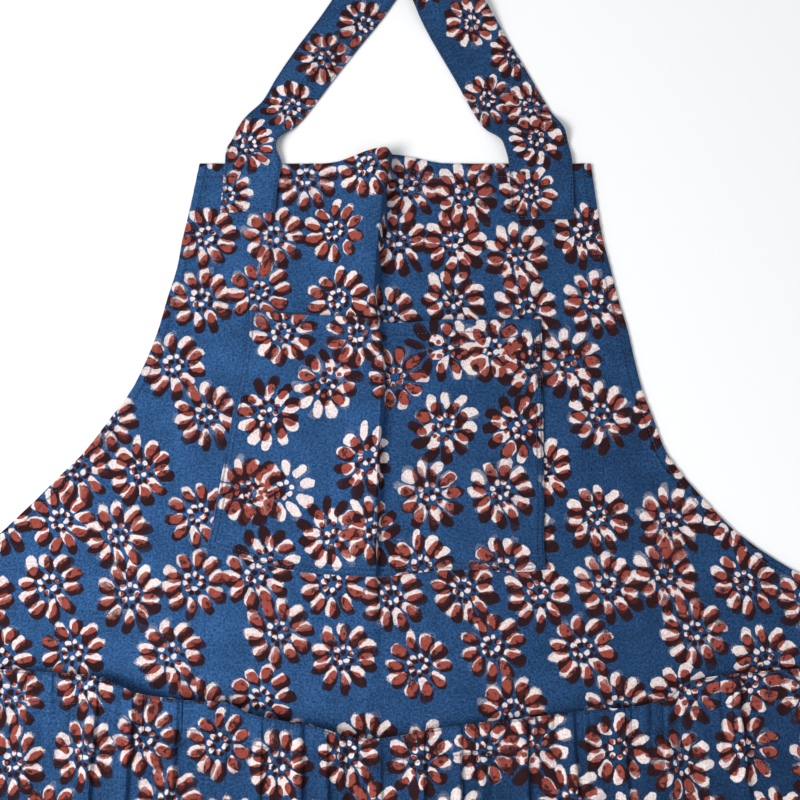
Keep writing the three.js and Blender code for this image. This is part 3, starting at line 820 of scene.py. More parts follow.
def body_panel():
    down = np.concatenate([[0, 0.6], spaced(2.4, 330, 3.2), spaced(334, 470, 4.5),
                           spaced(478, BODY_LENGTH - HEM_CORNER, 9),
                           BODY_LENGTH - HEM_CORNER * (1 - np.array([0.2, 0.4, 0.6, 0.75, 0.9, 0.97, 1.0]))])
    y = -down[::-1]
    cut = corner_cut(y)
    left = -body_side(y, "left") + cut
    right = body_side(y, "right") - cut
    edge = np.concatenate([[0, 0.005, 0.014, 0.026, 0.038, 0.05], spaced(0.07, 0.97, 0.022)])
    x = columns_across(left, right, crease_x(y), edge)
    y = np.repeat(y[:, None], x.shape[1], axis=1)
    from_side = np.minimum(x - left[:, None], right[:, None] - x)
    lean = np.gradient(left, y[:, 0])
    from_side = from_side / np.sqrt(1 + lean[:, None] ** 2)
    from_end = np.minimum(-y - TOP_HEM_EXTRA, y + BODY_LENGTH)
    hem = np.maximum(hem_share(from_side, HEM_WIDTH - 2), hem_share(from_end, HEM_WIDTH))
    thick = BODY_CLOTH + HEM_CLOTH * hem
    lift = edge_lift(x, y)
    pucker = 0.25 * hem * np.sin((x + 2 * y) / 1.9 + 3 * crinkle(x, y, 20, 9))
    height = body_top(x, y) - BODY_CLOTH + thick / 2 + pucker * hem
    middle = np.stack([x, y + lift, np.maximum(height, thick / 2)], -1)
    cloth = np.stack([arc_from(middle, crease_column(edge)), y + lift], -1)
    seams = (from_side - HEM_WIDTH + SIDE_SEAM_IN, from_end - HEM_WIDTH + TOP_SEAM_IN)
    return closed_cloth("body_cloth", middle, thick, cloth, MAIN_CHART, body_slip, seams)


def body_seams():
    lines = []
    y = -spaced(SEAM_FROM_CORNER, BODY_LENGTH - SEAM_FROM_CORNER, SEAM_STEP)
    for side, sign in (("left", -1), ("right", 1)):
        lean = np.gradient(body_side(y, side), y)
        x = body_side(y, side) - corner_cut(y) - (HEM_WIDTH - SIDE_SEAM_IN) * np.sqrt(1 + lean**2)
        lines.append(laid_on(body, sign * x, y))
    x = spaced(SEAM_FROM_CORNER - BIB_HALF, BIB_HALF - SEAM_FROM_CORNER, SEAM_STEP)
    edge = 0 * x - HEM_WIDTH + TOP_SEAM_IN - TOP_HEM_EXTRA
    lines.append(laid_on(body, x, edge + edge_lift(x, edge)))
    x = spaced(HEM_CORNER - WAIST_HALF, WAIST_HALF - HEM_CORNER, SEAM_STEP)
    lines.append(laid_on(body, x, 0 * x - BODY_LENGTH + HEM_WIDTH - TOP_SEAM_IN))
    return lines


def stand_in(piece, node):
    """A piece of cotton takes the place of its solid, on the one body that the apron is."""
    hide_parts(node)
    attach(piece, "root")


body = body_panel()
body_thread = sew("body_stitches", 1, body_seams())
stand_in(body, "body_panel")

# The bib pocket.
# A patch cut from another place of the print. Its top is hemmed, its other edges are turned under and
# sewn down through the bib, and its cloth is a little slack for what it carries.
POCKET_CLOTH = 0.9
POCKET_TOP_LEFT = -103.5
POCKET_TOP_RIGHT = 101.5
POCKET_DOWN = 112.0
POCKET_HEIGHT = 176.0
POCKET_FLARE = 25.0
POCKET_HEM = 10.0
POCKET_TURNING = 7.0
POCKET_SLACK = 7.5
POCKET_TURNED = 0.7
POCKET_SECOND_SEAM = 4.6
SEAM_GAP = 0.3
EDGE_SEAM = 1.6
POCKET_EDGES = table(
    "across top bottom",
    (0.00, -0.024, 0.916),
    (0.08, -0.014, 0.945),
    (0.16, -0.003, 0.975),
    (0.27, 0.004, 1.005),
    (0.40, 0.022, 1.020),
    (0.52, 0.034, 1.026),
    (0.66, 0.020, 1.004),
    (0.80, 0.020, 0.998),
    (0.90, 0.016, 1.010),
    (1.00, 0.013, 0.998),
)
POCKET_SIDES = table(
    "down left right",
    (0.00, 0.00, 0.00),
    (0.15, 0.05, 0.00),
    (0.45, 0.35, -0.01),
    (0.80, 0.72, -0.02),
    (0.93, 0.86, -0.04),
    (1.00, 1.00, 0.02),
)

# The stitched boxes at the pocket's top corners: left side, right side and bottom, as shares of the pocket.
CORNER_BOXES = ((0.012, 0.042, 0.09), (0.960, 0.986, 0.06))
CORNER_BOX_TOP = 0.01


def over_body(x, y, gap):
    """The height that keeps a gap, measured square to the cloth, above the body."""
    slope_x = (body_top(x + 1, y) - body_top(x - 1, y)) / 2
    slope_y = (body_top(x, y + 1) - body_top(x, y - 1)) / 2
    return body_top(x, y) + gap * np.sqrt(1 + slope_x**2 + slope_y**2)


# The pocket's own stretch of the cloth, where the rust block wandered: its slip is charted bloom by bloom.
POCKET_CHART = print_chart(232.0, 196.0, table(
    "across down turn right up",
    (-81, 127, 0.03, 3, 1),
    (-27, 125, 0.08, 2, -3),
    (-50, 165, 0.05, 4, 7),
    (-88, 184, 0.00, 1, 6),
    (-106, 231, 0.06, 8, -3),
    (-76, 233, 0.02, -21, -2),
    (-18, 211, 0.07, -1, -7),
    (-20, 259, 0.01, 6, -4),
    (4, 159, 0.04, 0, -2),
    (39, 189, 0.09, -3, -6),
    (47, 135, 0.02, -15, 0),
    (72, 134, 0.05, 6, -3),
    (100, 145, 0.08, -4, -6),
    (91, 191, 0.00, -6, 2),
    (27, 233, 0.06, 1, -5),
    (78, 233, 0.03, 1, -6),
    (23, 284, 0.07, 0, -4),
    (76, 288, 0.05, -2, -2),
    (-88, 283, 0.01, -4, 6),
    (-44, 267, 0.09, -3, 6),
))


def pocket_slip(x, y):
    return 0 * x, 0 * y, 1.5, 0.05, 0


def pocket_sides(down):
    """Where the pocket's left and right sides lie, at shares down it."""
    left = POCKET_TOP_LEFT - POCKET_FLARE * along(POCKET_SIDES, "down", "left", down)
    return left, POCKET_TOP_RIGHT + POCKET_FLARE * along(POCKET_SIDES, "down", "right", down)


def pocket_ends(across):
    """Where the pocket's top and bottom lie, at shares across it, as shares of its height."""
    return along(POCKET_EDGES, "across", "top", across), along(POCKET_EDGES, "across", "bottom", across)


def pocket_place(across, down):
    """A place on the pocket in the bib frame, from shares across it and down it."""
    left, right = pocket_sides(down)
    top, bottom = pocket_ends(across)
    return mix(left, right, across), -(POCKET_DOWN + POCKET_HEIGHT * mix(top, bottom, down))


def bib_pocket():
    down = np.concatenate([[1, 0.997], spaced(0.99, 0.90, 0.012), spaced(0.88, 0.08, 0.018),
                           spaced(0.07, 0.008, 0.0085), [0.003, 0]])
    nominal = -(POCKET_DOWN + POCKET_HEIGHT * down)
    left, right = pocket_sides(down)
    edge = np.concatenate([[0, 0.008, 0.025, 0.05, 0.075, 0.10, 0.125], spaced(0.16, 0.95, 0.04)])
    x = columns_across(left, right, crease_x(nominal), edge)
    across = (x - left[:, None]) / (right - left)[:, None]
    top, bottom = pocket_ends(across)
    level = mix(top, bottom, down[:, None])
    y = -(POCKET_DOWN + POCKET_HEIGHT * level)
    from_top = (level - top) * POCKET_HEIGHT
    from_bottom = (bottom - level) * POCKET_HEIGHT
    from_side = np.minimum(x - left[:, None], right[:, None] - x)
    from_edge = np.minimum(from_side, from_bottom)
    turned = np.maximum(hem_share(from_edge, POCKET_TURNING), hem_share(from_top, POCKET_HEM))
    thick = POCKET_CLOTH + POCKET_TURNED * turned
    sideways = np.maximum(0, np.sin(np.pi * across)) ** 0.55
    hold = np.maximum(0, 1 - down[:, None] ** 3.2) ** 0.8
    mouth = mix(0.66, 1, ease(down[:, None] / 0.2))
    lift = POCKET_SLACK * sideways * hold * mouth
    wrinkle = 0.7 * (crinkle(x, y, 26, 11) - 0.5) * np.minimum(1, lift / 2)
    pucker = 0.12 * turned * np.sin((2 * x + 3 * y) / 1.7 + 4 * crinkle(x, y, 24, 12))
    middle = np.stack([x, y, over_body(x, y, SEAM_GAP + thick / 2) + lift + wrinkle + pucker], -1)
    cloth = np.stack([arc_from(middle, crease_column(edge)), y], -1)
    seams = (from_edge - EDGE_SEAM, from_edge - POCKET_SECOND_SEAM, from_top - POCKET_HEM + 1)
    return closed_cloth("pocket_cloth", middle, thick, cloth, POCKET_CHART, pocket_slip, seams)


def pocket_seams():
    lines = []
    wide, tall = POCKET_TOP_RIGHT - POCKET_TOP_LEFT, POCKET_HEIGHT
    for inset in (EDGE_SEAM, POCKET_SECOND_SEAM):
        down = spaced(1, tall - inset, SEAM_STEP) / tall
        across = spaced(inset, wide - inset, SEAM_STEP) / wide
        lines.append(laid_on(pocket, *pocket_place(inset / wide + 0 * down, down)))
        lines.append(laid_on(pocket, *pocket_place(1 - inset / wide + 0 * down, down)))
        lines.append(laid_on(pocket, *pocket_place(across, 1 - inset / tall + 0 * across)))
    across = spaced(5, wide - 5, SEAM_STEP) / wide
    lines.append(laid_on(pocket, *pocket_place(across, (POCKET_HEM - 1) / tall + 0 * across)))
    for low, high, bottom in CORNER_BOXES:
        across = np.array([low, low, low, high, high, high, low, low, high])
        half, top = bottom / 2, CORNER_BOX_TOP
        down = np.array([top, half, bottom, bottom, half, top, top, half, half])
        lines.append(laid_on(pocket, *pocket_place(across, down)))
    return lines


pocket = bib_pocket()
pocket_thread = sew("pocket_stitches", 2, pocket_seams())
stand_in(pocket, "bib_pocket")

# The harvest pouch.
# A wide piece of the cotton sewn on at its sides and foot. Elastic in a casing at its top gathers it, so
# fine pleats stand at the stitch line and open out below it.
POUCH_CLOTH = 0.9
POUCH_HALF = WAIST_HALF - 14.0
POUCH_DOWN = 390.0
POUCH_INSET = 14.0
POUCH_DEPTH = BODY_LENGTH - POUCH_INSET - POUCH_DOWN
POUCH_CASING = 19.0
POUCH_BELLY = 15.0
POUCH_MOUTH = 7.5
POUCH_TOP_SEAM = 1.2
GATHER_WIDTH = 6.2
GATHER_RISE = 3.2
PLEATS = 74
PLEAT_WIDTH = 0.0135
POUCH_CUT_FROM = (-198.0, -90.0)
POUCH_EDGE = table(
    "across drop",
    (-1.00, -0.123),
    (-0.82, -0.117),
    (-0.64, -0.104),
    (-0.60, -0.091),
    (-0.56, -0.071),
    (-0.46, -0.055),
    (-0.36, -0.049),
    (-0.31, -0.026),
    (-0.25, -0.013),
    (-0.16, 0.003),
    (-0.11, 0.019),
    (-0.05, 0.026),
    (0.01, 0.019),
    (0.08, 0.006),
    (0.16, -0.006),
    (0.27, -0.016),
    (0.35, -0.026),
    (0.44, -0.036),
    (0.50, -0.039),
    (0.57, -0.055),
    (0.60, -0.075),
    (0.64, -0.097),
    (0.82, -0.117),
    (1.00, -0.123),
)
GATHERS = [
    # place at the edge, drift by the foot, width and rise (times the usual), and length, as shares
    (-0.900, -0.020, 1.10, 0.80, 0.45),
    (-0.770, 0.015, 1.20, 1.00, 0.58),
    (-0.655, -0.030, 1.10, 1.10, 0.60),
    (-0.575, -0.060, 1.00, 1.20, 0.42),
    (-0.480, -0.070, 1.10, 1.10, 0.52),
    (-0.385, 0.020, 1.00, 0.80, 0.40),
    (-0.300, -0.020, 1.00, 0.90, 0.55),
    (-0.212, 0.000, 0.85, 1.30, 0.74),
    (-0.155, 0.010, 0.70, 1.10, 0.44),
    (-0.108, 0.020, 0.70, 1.00, 0.38),
    (-0.045, 0.010, 1.00, 0.80, 0.50),
    (0.045, -0.015, 1.00, 1.00, 0.62),
    (0.125, -0.020, 0.90, 1.30, 0.38),
    (0.195, -0.050, 0.90, 1.10, 0.50),
    (0.265, 0.000, 0.90, 1.20, 0.70),
    (0.365, 0.010, 1.00, 1.20, 0.50),
    (0.470, 0.020, 1.10, 0.90, 0.42),
    (0.590, 0.010, 1.10, 1.00, 0.62),
    (0.720, 0.020, 1.20, 1.00, 0.45),
    (0.880, -0.010, 1.10, 0.80, 0.42),
]
POUCH_CREASES = [
    # from place, from down, to place, to down as shares of the pouch, width and rise in mm
    (-0.33, -0.01, -0.63, 0.14, 5.5, 3.6),
    (-0.10, 0.10, -0.16, 0.30, 8, 1.8),
    (0.20, 0.09, 0.10, 0.26, 9, 2.2),
    (0.52, 0.08, 0.66, 0.24, 9, 2.0),
]


def pleat(t, way):
    """One gather across, from -1 to 1: a slow rise, then a steep fall on one side."""
    peak = 0.82
    t = t * way
    return hump(np.where(t < peak, (t - peak) / (1 + peak), (t - peak) / (1 - peak)))


def gather_height(share, down):
    """Height of the main gathers over the pouch, in millimetres."""
    total = np.zeros(np.broadcast(share, down).shape)
    start = mix(0.55, 1, ease(down / 0.1))
    for number, (place, drift, width, rise, length) in enumerate(GATHERS):
        middle = place + drift * ease(down * 1.4)
        fade = 1 - ease((down - length * 0.35) / (length * 0.65))
        spread = width * GATHER_WIDTH * mix(0.8, 1.3, ease(down / length)) / POUCH_HALF
        way = -1 if number % 4 == 1 else 1
        total += GATHER_RISE * rise * pleat((share - middle) / spread, way) * start * fade
    return total


def fine_gathers(share, down):
    """The small pleats between the main ones, which the elastic draws up and which fade below it."""
    chance = np.random.default_rng(21)
    places = np.linspace(-0.97, 0.97, PLEATS) + chance.uniform(-0.011, 0.011, PLEATS)
    total = np.zeros(np.broadcast(share, down).shape)
    for place in places:
        lean, length = chance.uniform(-0.05, 0.05), chance.uniform(0.08, 0.26)
        rise = chance.uniform(0.3, 1.9)
        way = chance.choice([-1, 1])
        middle = place + lean * down
        total += rise * pleat((share - middle) / PLEAT_WIDTH, way) * (1 - ease(down / length))
    return total


def pouch_creases(share, down):
    """Slanting creases where the full cloth pulls from the casing."""
    total = np.zeros(np.broadcast(share, down).shape)
    x, y = share * POUCH_HALF, down * POUCH_DEPTH
    for from_share, from_down, to_share, to_down, width, rise in POUCH_CREASES:
        t, side = beside(x, y, from_share * POUCH_HALF, from_down * POUCH_DEPTH,
                         to_share * POUCH_HALF, to_down * POUCH_DEPTH)
        total += rise * pleat(side / width, 1) * hump(2 * t - 1)
    return total


def pouch_slip(x, y):
    """The rust block lies low by a little on the left, and blooms stray much further on the right."""
    rightward = ease((x - POUCH_CUT_FROM[0] + 40) / 90)
    right, stray = mix(1.5, -1.5, rightward), mix(1.6, 7.0, rightward)
    return right, -3.2 + 0 * y, stray, mix(0.012, 0.08, rightward), mix(0.9, 0.2, rightward)


def pouch_y(share, down):
    start = -(POUCH_DOWN + POUCH_HALF * along(POUCH_EDGE, "across", "drop", share))
    return mix(start, -(BODY_LENGTH - POUCH_INSET), down)


def harvest_pouch():
    stitch_line = POUCH_CASING / POUCH_DEPTH
    down = np.concatenate([[1, 0.999], spaced(0.996, 0.92, 0.009), spaced(0.90, 0.38, 0.031),
                           spaced(0.345, 0.105, 0.011), spaced(0.098, 0.006, 0.0049), [0.0015, 0]])[:, None]
    share = np.concatenate([[-1, -0.998], spaced(-0.994, 0.994, 0.0031), [0.998, 1]])[None, :]
    half = POUCH_HALF + HEM_FLARE * ease(down)
    x = share * half
    y = pouch_y(share, down)
    from_top = pouch_y(share, 0 * down) - y
    from_edge = np.minimum((1 - np.abs(share)) * half, y + BODY_LENGTH - POUCH_INSET)
    turned = np.maximum(hem_share(from_edge, POCKET_TURNING), hem_share(from_top, POUCH_CASING))
    thick = POUCH_CLOTH + HEM_CLOTH * turned
    sideways = np.maximum(0, 1 - np.abs(share) ** 5) ** 0.8
    hold = np.maximum(0, 1 - down**4) ** 0.75
    lift = mix(POUCH_MOUTH, POUCH_BELLY, ease(down / 0.3)) * sideways * hold
    room = np.minimum(1, lift / GATHER_RISE)
    groove = 1.8 * hump((down - stitch_line) / 0.022)
    drape = 2.4 * (crinkle(x, y * 0.45, 60, 31) - 0.5) * ease(down / 0.2)
    folds = gather_height(share, down) + fine_gathers(share, down) + pouch_creases(share, down)
    folds = folds - groove + drape
    middle = np.stack([x, y, over_body(x, y, SEAM_GAP + thick / 2) + lift + folds * room], -1)
    column = share.shape[1] // 2
    full = np.median(arc_from(middle, column)[len(down) // 2:], axis=0)
    cloth = np.stack([mix(x, full, 0.5) + POUCH_CUT_FROM[0], y + POUCH_CUT_FROM[1]], -1)
    seams = (from_edge - EDGE_SEAM, from_top - POUCH_CASING, from_top - POUCH_TOP_SEAM)
    return closed_cloth("pouch_cloth", middle, thick, cloth, MAIN_CHART, pouch_slip, seams)


def pouch_seams():
    share = spaced(-0.985, 0.985, 0.004)
    x = share * POUCH_HALF
    lines = [laid_on(pouch, x, pouch_y(share, 0) - below) for below in (POUCH_TOP_SEAM, POUCH_CASING)]
    down = spaced(0.006, 0.994, 0.006)
    for side in (-1, 1):
        edge = side * (POUCH_HALF + HEM_FLARE * ease(down) - EDGE_SEAM)
        lines.append(laid_on(pouch, edge, pouch_y(side + 0 * down, down)))
    foot = share * (POUCH_HALF + HEM_FLARE)
    lines.append(laid_on(pouch, foot, 0 * foot - BODY_LENGTH + POUCH_INSET + EDGE_SEAM))
    return lines


pouch = harvest_pouch()
pouch_thread = sew("pouch_stitches", 3, pouch_seams())
stand_in(pouch, "harvest_pouch")

# The neck strap.
# Two layers of the cotton seamed along both edges, sewn flat on the front of the bib at each end. It kinks
# where it leaves the bib, runs up the table, and lies folded over flat at the nape.
STRAP_CLOTH = 1.5
NECK_HEIGHT = 180.0
LEFT_SEWN = 37.0
RIGHT_SEWN = 42.0
TURN_RADIUS = 1.8
LEFT_CURL = 6.5
KINK_HEIGHT = 5.0
END_SEAM = 2.0
STRAP_SEAMS_IN = (0.8, 1.9)
STRAP_UPPER_SEAM = -10.0
LEFT_SEAMS_TO = 0.72
RIGHT_SEAMS_TO = 0.99
CLOSE_ROWS = 0.0125
WIDE_ROWS = 0.022
LAST_ROW = 0.003
STRAP_RUN = 500.0
BACK_LAYER = 90.0

# Where each leg kinks off the bib: place up it, slant across it and half length, as shares of its height.
LEFT_KINK = (0.133, -0.078, 0.083)
RIGHT_KINK = (0.111, 0.067, 0.078)

# The edges of each leg, from its sewn end to the fold at the nape, as shares of its height.
LEFT_LEG = table(
    "up left right",
    (-0.21, -0.690, -0.474),
    (-0.10, -0.684, -0.466),
    (0.00, -0.676, -0.452),
    (0.06, -0.672, -0.474),
    (0.10, -0.652, -0.464),
    (0.14, -0.628, -0.414),
    (0.18, -0.600, -0.374),
    (0.226, -0.564, -0.340),
    (0.268, -0.528, -0.309),
    (0.353, -0.482, -0.250),
    (0.482, -0.402, -0.155),
    (0.611, -0.313, -0.057),
    (0.698, -0.258, 0.001),
    (0.83, -0.176, 0.090),
    (1.00, -0.080, 0.196),
)
RIGHT_LEG = table(
    "up left right",
    (-0.233, 0.452, 0.700),
    (0.00, 0.446, 0.698),
    (0.058, 0.430, 0.690),
    (0.10, 0.412, 0.680),
    (0.142, 0.358, 0.666),
    (0.184, 0.326, 0.638),
    (0.268, 0.280, 0.590),
    (0.353, 0.237, 0.544),
    (0.482, 0.166, 0.474),
    (0.611, 0.098, 0.402),
    (0.698, 0.062, 0.352),
    (0.83, 0.004, 0.276),
    (1.00, -0.080, 0.196),
)

# The strap's own stretch of the cloth, charted: across from the middle of the front layer, with the back
# layer beside it, and down from the right end.
STRAP_CHART = print_chart(180.0, 520.0, table(
    "across down turn right up",
    (-16, 487, 0.03, -3, -2),
    (-3, 449, 0.07, -3, -2),
    (5, 407, 0.02, -2, -3),
    (7, 367, 0.05, -4, -1),
    (12, 327, 0.08, -2, -3),
    (-6, 285, 0.01, -2, -3),
    (8, 248, 0.06, 3, 2),
    (-5, 205, 0.04, 2, -3),
    (10, 160, 0.09, -2, -2),
    (-8, 115, 0.00, 1, -4),
    (6, 70, 0.05, -3, -1),
    (-4, 25, 0.02, 2, -3),
    (100, 200, 0.06, 2, 3),
    (78, 228, 0.01, -1, 4),
    (82, 152, 0.04, 0, -5),
    (67, 119, 0.08, 1, 4),
    (102, 94, 0.02, 2, 3),
    (75, 76, 0.05, 3, 3),
    (88, 50, 0.00, -2, 4),
    (96, 13, 0.07, 2, 3),
    (95, 268, 0.03, 2, -3),
    (84, 310, 0.06, 1, 4),
    (98, 355, 0.09, -2, 3),
    (86, 400, 0.02, 3, 2),
    (94, 445, 0.05, -1, -3),
), size=0.86)


def strap_slip(x, y):
    return 0 * x, 0 * y, 1.0, 0.03, 0.2


def leg_edges(curve, up):
    """Where a leg's left and right edges lie, at places up it as shares of its height."""
    return [along(curve, "up", side, up) * NECK_HEIGHT for side in ("left", "right")]


def run_along(centre):
    """Distance along a strip's middle line at each row, as a column."""
    return np.concatenate([[0], np.cumsum(np.linalg.norm(np.diff(centre, axis=0), axis=1))])[:, None]


def neck_strap():
    on_table = STRAP_CLOTH / 2
    fold_radius = TURN_RADIUS + 0.5
    on_fold = on_table + 2 * fold_radius
    a = np.concatenate([[0, 0.012], spaced(0.035, 0.965, 0.052), [0.988, 1]])[None, :]

    def leg(curve, up, out, height):
        left, right = leg_edges(curve, up)
        x = mix(left[:, None], right[:, None], a)
        y = np.repeat((up * NECK_HEIGHT + out)[:, None], a.shape[1], axis=1)
        return np.stack([x, y, height + 0 * x], -1)

    def off_bib(up, x):
        on_bib = over_body(x, np.minimum(-1.0, up * NECK_HEIGHT), SEAM_GAP + HEM_CLOTH + STRAP_CLOTH / 2)
        return mix(on_bib, on_table, ease((up - 0.022) / 0.078))

    def kinked(up, place, slant, reach):
        return KINK_HEIGHT * hump((up - place - slant * (a - 0.5)) / reach)

    end = -LEFT_SEWN / NECK_HEIGHT
    up = np.concatenate([[end, end + LAST_ROW], spaced(-0.19, 0.30, CLOSE_ROWS),
                         spaced(0.32, 0.98, WIDE_ROWS)])
    rise = up[:, None]
    kink = kinked(rise, *LEFT_KINK)
    curl = LEFT_CURL * hump((rise - 0.417) / 0.344) * hump((a - 0.45) / 0.55)
    first = leg(LEFT_LEG, up, 0, off_bib(rise, mix(-0.6, -0.5, a) * NECK_HEIGHT) + kink + curl)
    turn = np.linspace(-np.pi / 2, np.pi / 2, 11)
    bend = on_table + fold_radius * (1 + np.sin(turn))
    over = leg(LEFT_LEG, np.ones(11), fold_radius * np.cos(turn), bend[:, None])
    end = -RIGHT_SEWN / NECK_HEIGHT
    up = np.concatenate([spaced(0.98, 0.32, WIDE_ROWS), spaced(0.30, -0.22, CLOSE_ROWS),
                         [end + LAST_ROW, end]])
    rise = up[:, None]
    kink = kinked(rise, *RIGHT_KINK)
    climb = (on_fold - on_table) * ease((rise - 0.51) / 0.2)
    last = leg(RIGHT_LEG, up, 0, off_bib(rise, mix(0.45, 0.69, a) * NECK_HEIGHT) + kink + climb)
    middle = np.concatenate([first, over, last])
    middle[..., 2] += 0.5 * (crinkle(middle[..., 0], middle[..., 1], 22, 41) - 0.5)
    middle[..., 2] = np.maximum(middle[..., 2], on_table)
    centre = middle[:, a.shape[1] // 2]
    run = run_along(centre)
    width = np.linalg.norm(middle[:, -1] - middle[:, 0], axis=1)[:, None]
    lean = np.clip(np.gradient(centre[:, 0], run[:, 0]), 0, 0.75)
    lean = np.convolve(np.pad(lean, 4, mode="edge"), np.full(9, 1 / 9), mode="valid")[:, None]
    wide = width * np.sqrt(1 - lean**2)
    forward = run + (a - 0.5) * width * lean
    cloth = np.stack([(a - 0.5) * wide, forward - STRAP_RUN], -1)
    back = np.stack([BACK_LAYER - (a - 0.5) * wide, forward - STRAP_RUN], -1)
    thick = np.full(middle.shape[:2], STRAP_CLOTH)
    ends = np.minimum(run, run[-1] - run) + 0 * a
    seams = (a * wide - EDGE_SEAM, (1 - a) * wide - EDGE_SEAM, ends - END_SEAM)
    return closed_cloth("strap_cloth", middle, thick, cloth, STRAP_CHART, strap_slip, seams, back)


def strap_seams():
    lines = []
    for curve, first, last in ((LEFT_LEG, -LEFT_SEWN, LEFT_SEAMS_TO),
                               (RIGHT_LEG, -RIGHT_SEWN, RIGHT_SEAMS_TO)):
        up = spaced(first / NECK_HEIGHT + 0.012, last, 0.012)
        left, right = leg_edges(curve, up)
        lean = np.gradient(left, up * NECK_HEIGHT)
        for inset in STRAP_SEAMS_IN:
            step = inset * np.sqrt(1 + lean**2)
            lines.append(laid_on(strap, left + step, up * NECK_HEIGHT))
            lines.append(laid_on(strap, right - step, up * NECK_HEIGHT))
        for level in (first + END_SEAM, STRAP_UPPER_SEAM):
            ends = [np.interp(level / NECK_HEIGHT, up, edge) for edge in (left, right)]
            x = spaced(ends[0] + 2, ends[1] - 2, SEAM_STEP)
            lines.append(laid_on(strap, x, level + 0 * x))
    return lines


strap = neck_strap()
strap_thread = sew("strap_stitches", 4, strap_seams())
stand_in(strap, "neck_strap")

# The waist ties.
# A long narrow strip of the cotton, folded double, sewn on at each side of the waist. Each leaves the body
# sideways, turns over flat and lies down beside the lower body.
TIE_CLOTH = 1.3
TIE_WIDTH = 25.0
TIE_DOWN = 318.0
TIE_SEWN = 35.0
TIE_REACH = 30.0
TIE_HANG = 560.0
TIE_SETTLE = 42.0
TIE_SWAY = 5.0
TIE_SEAM_IN = 4.0
TIE_ROWS = 81
TIE_LAST_ROW = 1.0012
TIE_BACK_LAYER = (80.0, 30.0)


def tie_slip(x, y):
    return 1.0 + 0 * x, -2.0 + 0 * y, 2.0, 0.02, 0.6


def tie_sway(share):
    """How far the hanging part wanders outwards, at a share of its length."""
    return TIE_SWAY * np.sin(share * 5.2) * ease(share * 3)


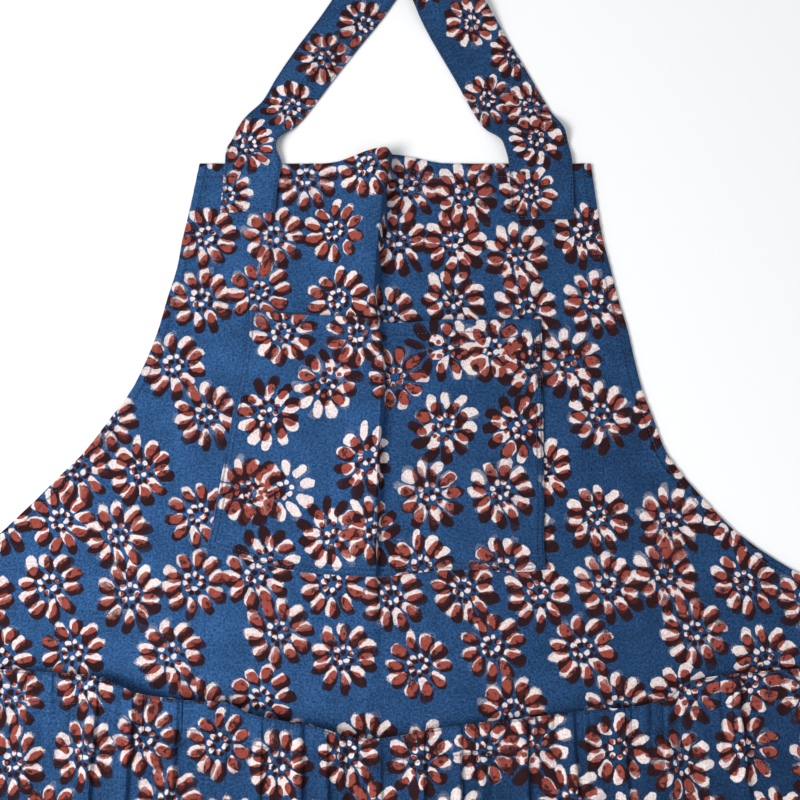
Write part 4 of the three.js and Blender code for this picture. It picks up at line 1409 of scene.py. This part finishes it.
def waist_tie(name, side, cut_from):
    top, low, edge = -TIE_DOWN, -(TIE_DOWN + TIE_WIDTH), WAIST_HALF
    inner = edge + TIE_REACH - TIE_WIDTH / 2
    outer = edge + TIE_REACH + TIE_WIDTH / 2
    on_table = TIE_CLOTH / 2
    on_body = BODY_CLOTH + HEM_CLOTH + SEAM_GAP + TIE_CLOTH / 2
    on_fold = on_table + 2 * TURN_RADIUS
    flat = [edge - TIE_SEWN * share for share in (1, 0.98, 0.75, 0.5, 0.25, 0)] + [edge + 4]
    rows = [(x, top, x, low, on_body) for x in flat]
    rows.append((edge + 8, top, edge + 12, low, mix(on_body, on_table, 0.6)))
    rows.append((edge + 12, top, edge + 22, low, on_table))
    for turn in np.linspace(-np.pi / 2, np.pi / 2, 9):
        out = TURN_RADIUS * math.cos(turn) * math.sqrt(0.5)
        height = on_table + TURN_RADIUS + TURN_RADIUS * math.sin(turn)
        rows.append((inner + out, top + out, outer + out, low + out, height))
    rows.append((inner, top - 14, outer, low - 8, on_fold))
    rows.append((inner, low - 8, outer, low - 14, on_fold))
    rows.append((inner, low - 24, outer, low - 26, mix(on_table, on_fold, 0.4)))
    rows.append((inner, low - TIE_SETTLE, outer, low - TIE_SETTLE, on_table))
    for share in [*np.linspace(0, 1, TIE_ROWS + 1)[1:], TIE_LAST_ROW]:
        y = mix(low - TIE_SETTLE, low - TIE_HANG, share)
        sway = tie_sway(share)
        wave = 3 * hump((share * 9 - 4) / 2.2) + 2 * hump((share * 9 - 7) / 1.6)
        rows.append((inner + sway, y, outer + sway, y, on_table + wave))
    rows = np.array(rows)
    a = np.array([0, 0.025, 0.12, 0.25, 0.38, 0.5, 0.62, 0.75, 0.88, 0.975, 1])[None, :]
    x, y = mix(rows[:, [0]], rows[:, [2]], a), mix(rows[:, [1]], rows[:, [3]], a)
    middle = np.stack([side * x, y, rows[:, [4]] + 0 * a], -1)
    if side < 0:
        middle = middle[:, ::-1]
    centre = middle[:, 5]
    run = run_along(centre)
    cloth = np.stack([a * TIE_WIDTH + cut_from + 0 * run, run + 0 * a], -1)
    back_right, back_down = TIE_BACK_LAYER
    back = np.stack([cut_from + back_right - a * TIE_WIDTH + 0 * run, run + back_down + 0 * a], -1)
    thick = np.full(middle.shape[:2], TIE_CLOTH)
    ends = np.minimum(run, run[-1] - run) + 0 * a
    wide = TIE_WIDTH + 0 * run
    seams = (a * wide - EDGE_SEAM, (1 - a) * wide - EDGE_SEAM, ends - END_SEAM)
    return closed_cloth(name, middle, thick, cloth, MAIN_CHART, tie_slip, seams, back)


def tie_seams(piece, side):
    y = -spaced(TIE_DOWN + TIE_WIDTH + TIE_SETTLE, TIE_DOWN + TIE_WIDTH + TIE_HANG - END_SEAM, SEAM_STEP)
    share = (y + TIE_DOWN + TIE_WIDTH + TIE_SETTLE) / (TIE_SETTLE - TIE_HANG)
    lines = []
    for inset in (EDGE_SEAM, TIE_WIDTH - EDGE_SEAM):
        x = WAIST_HALF + TIE_REACH - TIE_WIDTH / 2 + inset + tie_sway(share)
        lines.append(laid_on(piece, side * x, y))
    sewn = (WAIST_HALF - TIE_SEWN + END_SEAM, WAIST_HALF - TIE_SEAM_IN)
    x = spaced(*sewn, SEAM_STEP)
    for inset in (EDGE_SEAM, TIE_WIDTH - EDGE_SEAM):
        lines.append(laid_on(piece, side * x, 0 * x - TIE_DOWN - inset))
    for place in sewn:
        across = -spaced(TIE_DOWN + EDGE_SEAM, TIE_DOWN + TIE_WIDTH - EDGE_SEAM, SEAM_STEP)
        lines.append(laid_on(piece, 0 * across + side * place, across))
    return lines


tie_left = waist_tie("tie_cloth_left", -1, 30.0)
tie_right = waist_tie("tie_cloth_right", 1, -60.0)
left_thread = sew("tie_stitches_left", 5, tie_seams(tie_left, -1))
right_thread = sew("tie_stitches_right", 6, tie_seams(tie_right, 1))
stand_in(tie_left, "waist_tie_left")
stand_in(tie_right, "waist_tie_right")
